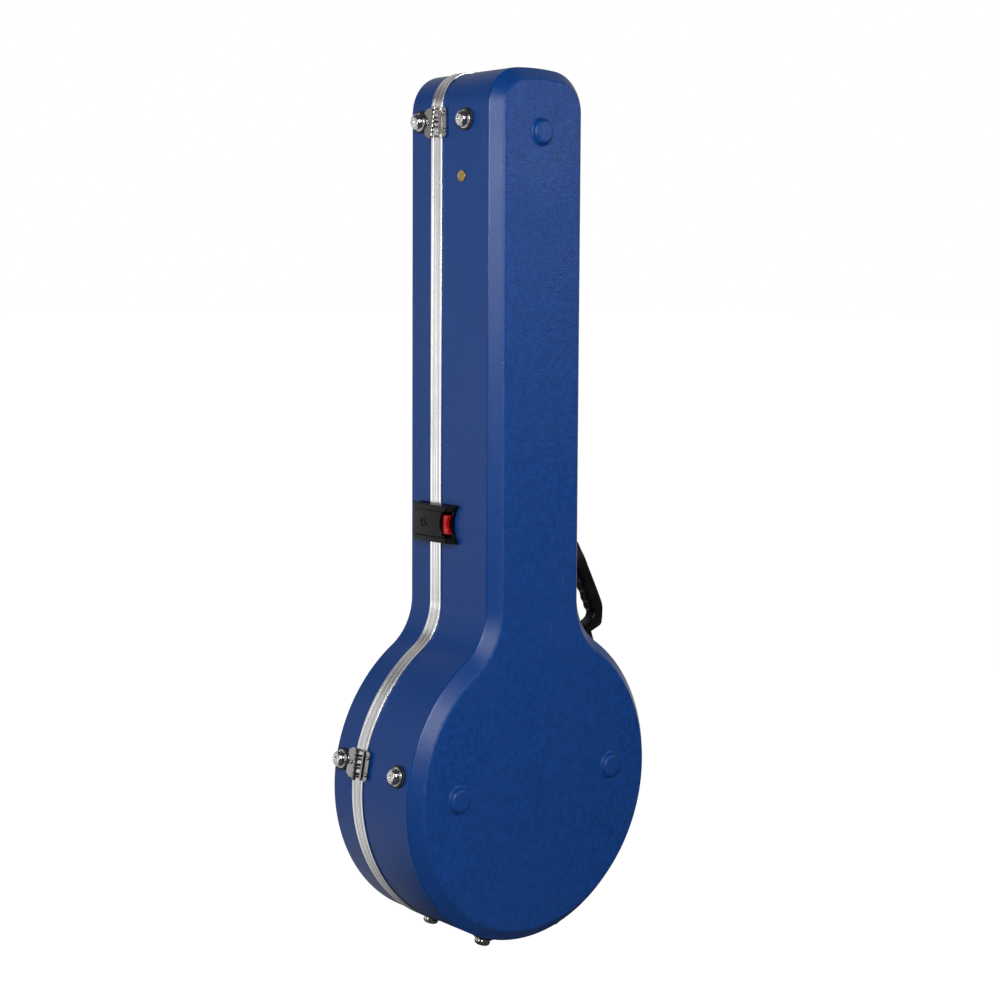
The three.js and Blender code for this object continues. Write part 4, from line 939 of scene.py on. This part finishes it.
def latch_trigger():
    radius, middle = hollow(11.0, 6.2, 30.2)
    side = [(2.6, 18), (2.6, 26), (4.8, 30.2), (4.8, 41.4), (7.2, 41.4), (7.9, 34), (8.7, 30), (9.2, 26.6),
            (8.9, 24.6), (8.3, 23), (5.4, 18)]
    body = cut(prism(side, -11, 11), disc(radius, middle))
    rim = bead(radius + 1.0, middle, 10.2, 0.9, lambda depth: 8.75 - 0.11 * (depth - 30.2))
    return merged([soft_edges(body, 0.85, 4), rim])


LATCHES = {
    "hinge_side": neck_wall(HINGE_SIDE_LATCH, 1),
    "upper": neck_wall(SHELL_LENGTH - 145, -1),
    "middle": neck_wall(SHOULDER_Z + 184, -1),
    "body": body_wall(171.5),
}


class CASE_OT_latches(bpy.types.Operator):
    """Makes the four trigger latches."""
    bl_idname = "case.latches"
    bl_label = "Latches"

    def execute(self, context):
        lever, keeper, trigger = latch_lever(), latch_keeper(), latch_trigger()
        for name, place in LATCHES.items():
            for pattern, part, finish in ((lever, "lever", "Latch black"), (trigger, "trigger", "Trigger red")):
                stood_for = f"latch_{name}_{part}"
                dress(twin(pattern), f"{stood_for}_fine", f"{part}_{name}", finish, [stood_for], place, 40)
            refined(f"latch_{name}_base", 0.4, "lid", "Latch black")
            refined(f"latch_{name}_pin", 0.2, "lid", "Hinge nickel")
        nodes = [f"latch_{name}_keeper" for name in LATCHES]
        repeated("latch_keepers", keeper, LATCHES.values(), "back", "Latch black", nodes)
        drop(lever, keeper, trigger)
        return {"FINISHED"}


# The grip's outer and inner height and half width, as shares, at shares of its half length
GRIP_OUTER = [(-1, 0.46), (-0.99, 0.53), (-0.83, 0.615), (-0.65, 0.66), (-0.5, 0.663), (-0.2, 0.635),
              (0.35, 0.57), (0.93, 0.51), (0.985, 0.48), (1, 0.42)]
GRIP_INNER = [(-1, 0.0164), (-0.775, 0.0164), (-0.765, 0.15), (-0.74, 0.275), (-0.67, 0.35), (-0.62, 0.365),
              (-0.54, 0.33), (-0.42, 0.345), (-0.34, 0.315), (-0.18, 0.33), (-0.08, 0.295), (0.08, 0.3),
              (0.18, 0.27), (0.34, 0.275), (0.44, 0.245), (0.6, 0.24), (0.715, 0.15), (0.725, 0.0164),
              (1, 0.0164)]
GRIP_SIDE = [(-1, 0.35), (-0.86, 0.35), (-0.6, 0.5), (0.6, 0.5), (0.86, 0.35), (1, 0.35)]
GRIP_WIDTH = 20.0
GRIP_END = 0.965


def along_table(table, at):
    """Value of a table of places and values, straight between its rows."""
    for (a, low), (b, high) in zip(table, table[1:]):
        if at <= b:
            return low + (high - low) * (at - a) / (b - a)
    return table[-1][1]


def eased(table, at, width):
    """The same, averaged over a short stretch so that corners come out round."""
    spots = [max(-1.0, min(1.0, at + width * k / 4)) for k in range(-4, 5)]
    return sum(along_table(table, spot) for spot in spots) / len(spots)


def rounded_section(low, high, half, radius, along):
    """A rectangle with round corners, standing out of the wall, at a height along it."""
    points = []
    for x, y, start in ((high - radius, half - radius, 0), (low + radius, half - radius, 1),
                        (low + radius, radius - half, 2), (high - radius, radius - half, 3)):
        for k in range(9):
            turn = pi / 2 * (start + k / 8)
            points.append((x + radius * cos(turn), y + radius * sin(turn), along))
    return points


def grip_rings():
    shares = set(spread(-GRIP_END, GRIP_END, 110) + spread(-0.79, -0.73, 16) + spread(0.7, 0.74, 12))
    rings = []
    for share in sorted(shares | {-1.0, -0.99, -0.98, 0.98, 0.99, 1.0}):
        inset = 1.8 * max(0.0, (abs(share) - GRIP_END) / (1 - GRIP_END)) ** 2
        inner = eased(GRIP_INNER, share, 0.012) * GRIP_HALF + inset
        outer = eased(GRIP_OUTER, share, 0.03) * GRIP_HALF - inset
        half = eased(GRIP_SIDE, share, 0.08) * GRIP_WIDTH - inset
        radius = min(0.44 * (outer - inner), 0.62 * half, 5.2)
        rings.append(rounded_section(inner, outer, half, radius, -share * GRIP_HALF))
    return rings


class CASE_OT_handle(bpy.types.Operator):
    """Makes the swinging handle with its finger grips, and its two brackets."""
    bl_idname = "case.handle"
    bl_label = "Handle"

    def execute(self, context):
        seat = radians(GRIP_SEAT)
        low = (BODY_RADIUS * cos(seat), BODY_RADIUS * (1 + sin(seat)))
        high = SHOULDER_Z + GRIP_RISE
        turn = atan2(-HALF_NECK - low[0], low[1] - high)
        place = wall_place((low[0] - HALF_NECK) / 2, (low[1] + high) / 2, turn, GRIP_DEPTH)
        grip = cut(rings_mesh(grip_rings()), bar(6.0, 0.0, -GRIP_HALF - 5, -GRIP_HALF + 6.3, 2.9),
                   bar(6.0, 0.0, GRIP_HALF - 6.3, GRIP_HALF + 5, 2.9))
        dress(grip, "handle_grip_fine", "handle", "Handle black", ["handle_grip"], place, 50)
        for name in ("handle_bracket_lower", "handle_bracket_upper"):
            refined(name, 0.9, "back", "Handle black", 4)
        return {"FINISHED"}


# Pairs of radius and height
BADGE = [(0, 0.3), (6.6, 0.3), (6.8, 0.5), (6.8, 1.2), (6.65, 1.38), (6.4, 1.4), (6.1, 1.3), (5.8, 1.12),
         (5.4, 1.06), (3.2, 1), (3, 1.12), (2.7, 1.14), (2.5, 1.02), (0, 0.98)]


class CASE_OT_badge(bpy.types.Operator):
    """Makes the plain dished disc on the wall."""
    bl_idname = "case.badge"
    bl_label = "Badge"

    def execute(self, context):
        place = neck_wall(SHELL_LENGTH - 127.4, 1, 46.2)
        dress(lathe(BADGE, 64), "badge_plain_disc", "back", "Badge brass", ["badge_disc"], place, 30)
        return {"FINISHED"}


def inflated(obj, pressure, cap, frames=20):
    """Fills a soft piece with air in a short cloth simulation; no point moves further than the cap."""
    start = [vertex.co.copy() for vertex in obj.data.vertices]
    cloth = obj.modifiers.new("cloth", "CLOTH")
    cloth.settings.use_pressure = True
    cloth.settings.uniform_pressure_force = pressure
    cloth.settings.quality = 5
    cloth.settings.tension_stiffness = 12
    cloth.settings.bending_stiffness = 2
    cloth.settings.effector_weights.gravity = 0.0
    cloth.point_cache.frame_start, cloth.point_cache.frame_end = 1, frames
    for step in range(1, frames + 1):
        bpy.context.scene.frame_set(step)
    settle(obj)
    bpy.context.scene.frame_set(1)
    for vertex, before in zip(obj.data.vertices, start):
        move = vertex.co - before
        if move.length > cap:
            vertex.co = before + move.normalized() * cap


def soft_lump(obj, amount, size):
    """Uneven filling: every point moves a little in or out along its normal."""
    normals = [vertex.normal.copy() for vertex in obj.data.vertices]
    for vertex, normal in zip(obj.data.vertices, normals):
        vertex.co += normal * (noise.noise(vertex.co / size) - 0.5) * amount


def tab_rings(low, high, across=16, down=12):
    """Rings down a short tab, each over its front and back again, thin at the sides and the top."""
    rings = []
    for v in spread(0, 1, down):
        front, back = [], []
        for u in spread(0, 1, across):
            edge = min(1.0, 6 * min(u, 1 - u), 5 * v)
            half = (high.y - low.y) / 2 * (0.55 + 0.4 * sqrt(edge)) - 0.15 * MM
            middle = (high.y + low.y) / 2 + 0.12 * MM * sin(9 * u + 2 * v)
            x, z = low.x + (high.x - low.x) * u, low.z + (high.z - low.z) * v
            front.append((x, middle - half, z))
            back.append((x, middle + half, z))
        rings.append(front + back[::-1])
    return rings


# Body, fill and share of the cell size of each plush piece; those with a smaller cell are filled with air
PLUSH = {
    "body_liner": ("back", 0.9, 1.0), "neck_liner": ("back", 0.9, 1.0), "lid_liner": ("lid", 0.9, 1.0),
    "neck_cradle": ("back", 0.8, 0.55), "compartment_lid": ("pocket_lid", 0.6, 0.55),
}


class CASE_OT_lining(bpy.types.Operator):
    """Makes the plush lining, the neck cradle, and the lid of the accessory pocket with its tab."""
    bl_idname = "case.lining"
    bl_label = "Lining"

    def execute(self, context):
        settings = context.scene.banjo_lining
        for name, (body, fill, share) in PLUSH.items():
            airy = share < 1
            piece = modified(copy_of(name), "REMESH", mode="VOXEL", voxel_size=settings.voxel * share)
            modified(piece, "SMOOTH", factor=0.5, iterations=5 if airy else 4)
            if not airy:
                soft_lump(piece, 0.9 * MM, 0.035)
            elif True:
                inflated(piece, settings.pressure, 1.6 * MM)
            low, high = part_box(name)
            for vertex in piece.data.vertices:
                vertex.co = [min(max(v, a), b) for v, a, b in zip(vertex.co, low, high)]
            if airy:
                modified(piece, "SMOOTH", factor=0.4, iterations=2)
            dress(piece, f"{name}_plush", body, "Lining plush", [name], sharp=180)
        low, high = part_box("pull_tab")
        tab = rings_mesh(tab_rings(low, high))
        dress(tab, "pull_tab_webbing", "pocket_lid", "Tab webbing", ["pull_tab"], sharp=60)
        return {"FINISHED"}


def grey(level):
    return level, level, level, 1.0


def mix_shader(tree, share, a, b):
    return node(tree, "MixShader", {0: share, 1: a, 2: b})[0]


def sees_white(tree, ray, behind):
    """1 for a ray that shows the white background: the camera's, through glass, or in part a mirror's."""
    straight = math_node(tree, "MAXIMUM", ray["Is Camera Ray"], ray["Is Transmission Ray"])
    return math_node(tree, "MAXIMUM", straight, times(tree, ray["Is Glossy Ray"], behind))


def floor_paper():
    """Pale paper that a mirror sees dark, except on the side that the photograph's background fills."""
    paper = bpy.data.materials.new("Floor paper")
    tree = cleared(paper)
    ray = node(tree, "LightPath")
    across = along_y(tree, node(tree, "TexCoord")["Object"])
    shows = sees_white(tree, ray, map_range(tree, across, 0.0, -0.25, 0.0, 0.8))
    lit, dim = [node(tree, "BsdfDiffuse", {"Color": grey(level)})[0] for level in (0.7, 0.1)]
    glow = node(tree, "Emission", {"Color": grey(1.0)})[0]
    shown = node(tree, "AddShader", {0: dim, 1: glow})[0]
    dark = mix_shader(tree, ray["Is Glossy Ray"], lit, dim)
    node(tree, "OutputMaterial", {"Surface": mix_shader(tree, shows, dark, shown)})
    return paper


def studio_world():
    """Faint even light, with the same white behind the case for the camera and for mirrors."""
    world = bpy.data.worlds.new("Studio")
    tree = cleared(world)
    ray = node(tree, "LightPath")
    toward = node(tree, "TexCoord")["Generated"]
    along = node(tree, "VectorMath", {0: toward, 1: (-0.65, -0.76, 0.0)}, operation="DOT_PRODUCT")
    behind = times(tree, map_range(tree, along["Value"], 0.25, 0.6), 0.55)
    ambient, white = [node(tree, "Background", {"Color": grey(1.0), "Strength": level})[0]
                      for level in (0.09, 1.0)]
    shown = mix_shader(tree, sees_white(tree, ray, behind), ambient, white)
    node(tree, "OutputWorld", {"Surface": shown})
    return world


# Studio lights: place, width and height in metres, and power in watts, all aimed at the case's middle
LIGHTS = {
    "Key": ((1.14, 1.21, 1.22), (0.8, 0.8), 36.5),
    "Panel": ((-1.5, 1.9, 1.5), (0.7, 0.7), 22),
    "Edge": ((2.4, -0.25, 1.0), (0.3, 1.6), 9),
    "Side": ((1.9, -2.2, 0.9), (2.0, 2.4), 12),
}
AIM = Vector((0.0, 0.0, 0.6))

# Camera: its place from the seam's foot in metres, its turn, dip and roll in degrees, and its shift
CAMERA_PLACE = Vector((1.4351502, 1.6710642, 0.7851317))
CAMERA_ANGLES = (138.7806, 4.7681, 0.3153)
CAMERA_SHIFT = (-0.0005, -0.0575)
FLOOR_HALF = 60.0


class CASE_OT_stage(bpy.types.Operator):
    """Sets the floor, the studio light, the world and the camera."""
    bl_idname = "case.stage"
    bl_label = "Stage"

    def execute(self, context):
        scene = context.scene
        settings = scene.banjo_stage
        scene.view_settings.view_transform = "Standard"
        corners = [(x * FLOOR_HALF, y * FLOOR_HALF, 0) for x, y in ((-1, -1), (1, -1), (1, 1), (-1, 1))]
        floor = mesh_object(corners, [(0, 1, 2, 3)], name="floor")
        floor.data.materials.append(floor_paper())
        scene.world = studio_world()
        for name, (place, size, power) in LIGHTS.items():
            data = bpy.data.lights.new(name, "AREA")
            data.shape = "RECTANGLE"
            data.size, data.size_y = size
            data.energy = power * settings.light_level
            light = link(bpy.data.objects.new(name, data))
            light.location = place
            light.visible_camera = False
            light.rotation_euler = (AIM - Vector(place)).to_track_quat("-Z", "Y").to_euler()
        data = bpy.data.cameras.new("Camera")
        camera = link(bpy.data.objects.new("Camera", data))
        data.lens = settings.focal_length
        data.shift_x, data.shift_y = CAMERA_SHIFT
        data.clip_end = 200.0
        turn, dip, roll = [radians(angle) for angle in CAMERA_ANGLES]
        camera.matrix_world = (
            Matrix.Translation(ORIGIN + CAMERA_PLACE) @ Matrix.Rotation(turn, 4, "Z")
            @ Matrix.Rotation(pi / 2 - dip, 4, "X") @ Matrix.Rotation(roll, 4, "Z"))
        scene.camera = camera
        return {"FINISHED"}


SETTINGS = {"banjo_casing": CasingSettings, "banjo_lining": LiningSettings, "banjo_stage": StageSettings}
OPERATORS = [CASE_OT_shells, CASE_OT_valances, CASE_OT_feet, CASE_OT_hinges, CASE_OT_latches,
             CASE_OT_handle, CASE_OT_badge, CASE_OT_lining, CASE_OT_stage]


class CASE_PT_panel(bpy.types.Panel):
    """Sizes, colours and steps of the banjo case."""
    bl_idname = "CASE_PT_panel"
    bl_label = "Banjo case"
    bl_space_type = "VIEW_3D"
    bl_region_type = "UI"
    bl_category = "Banjo case"

    def draw(self, context):
        rows = self.layout.column(align=True)
        for key, kind in SETTINGS.items():
            for setting in kind.__annotations__:
                rows.prop(getattr(context.scene, key), setting)
        for operator in OPERATORS:
            rows.operator(operator.bl_idname)


CLASSES = [*SETTINGS.values(), *OPERATORS, CASE_PT_panel]


def register():
    for item in CLASSES:
        bpy.utils.register_class(item)
    for key, kind in SETTINGS.items():
        setattr(bpy.types.Scene, key, bpy.props.PointerProperty(type=kind))


def unregister():
    for key in SETTINGS:
        delattr(bpy.types.Scene, key)
    for item in reversed(CLASSES):
        bpy.utils.unregister_class(item)


def main():
    register()
    make_materials(bpy.context.scene.banjo_casing)
    for operator in OPERATORS:
        space, name = operator.bl_idname.split(".")
        getattr(getattr(bpy.ops, space), name)()


if __name__ == "__main__":
    main()
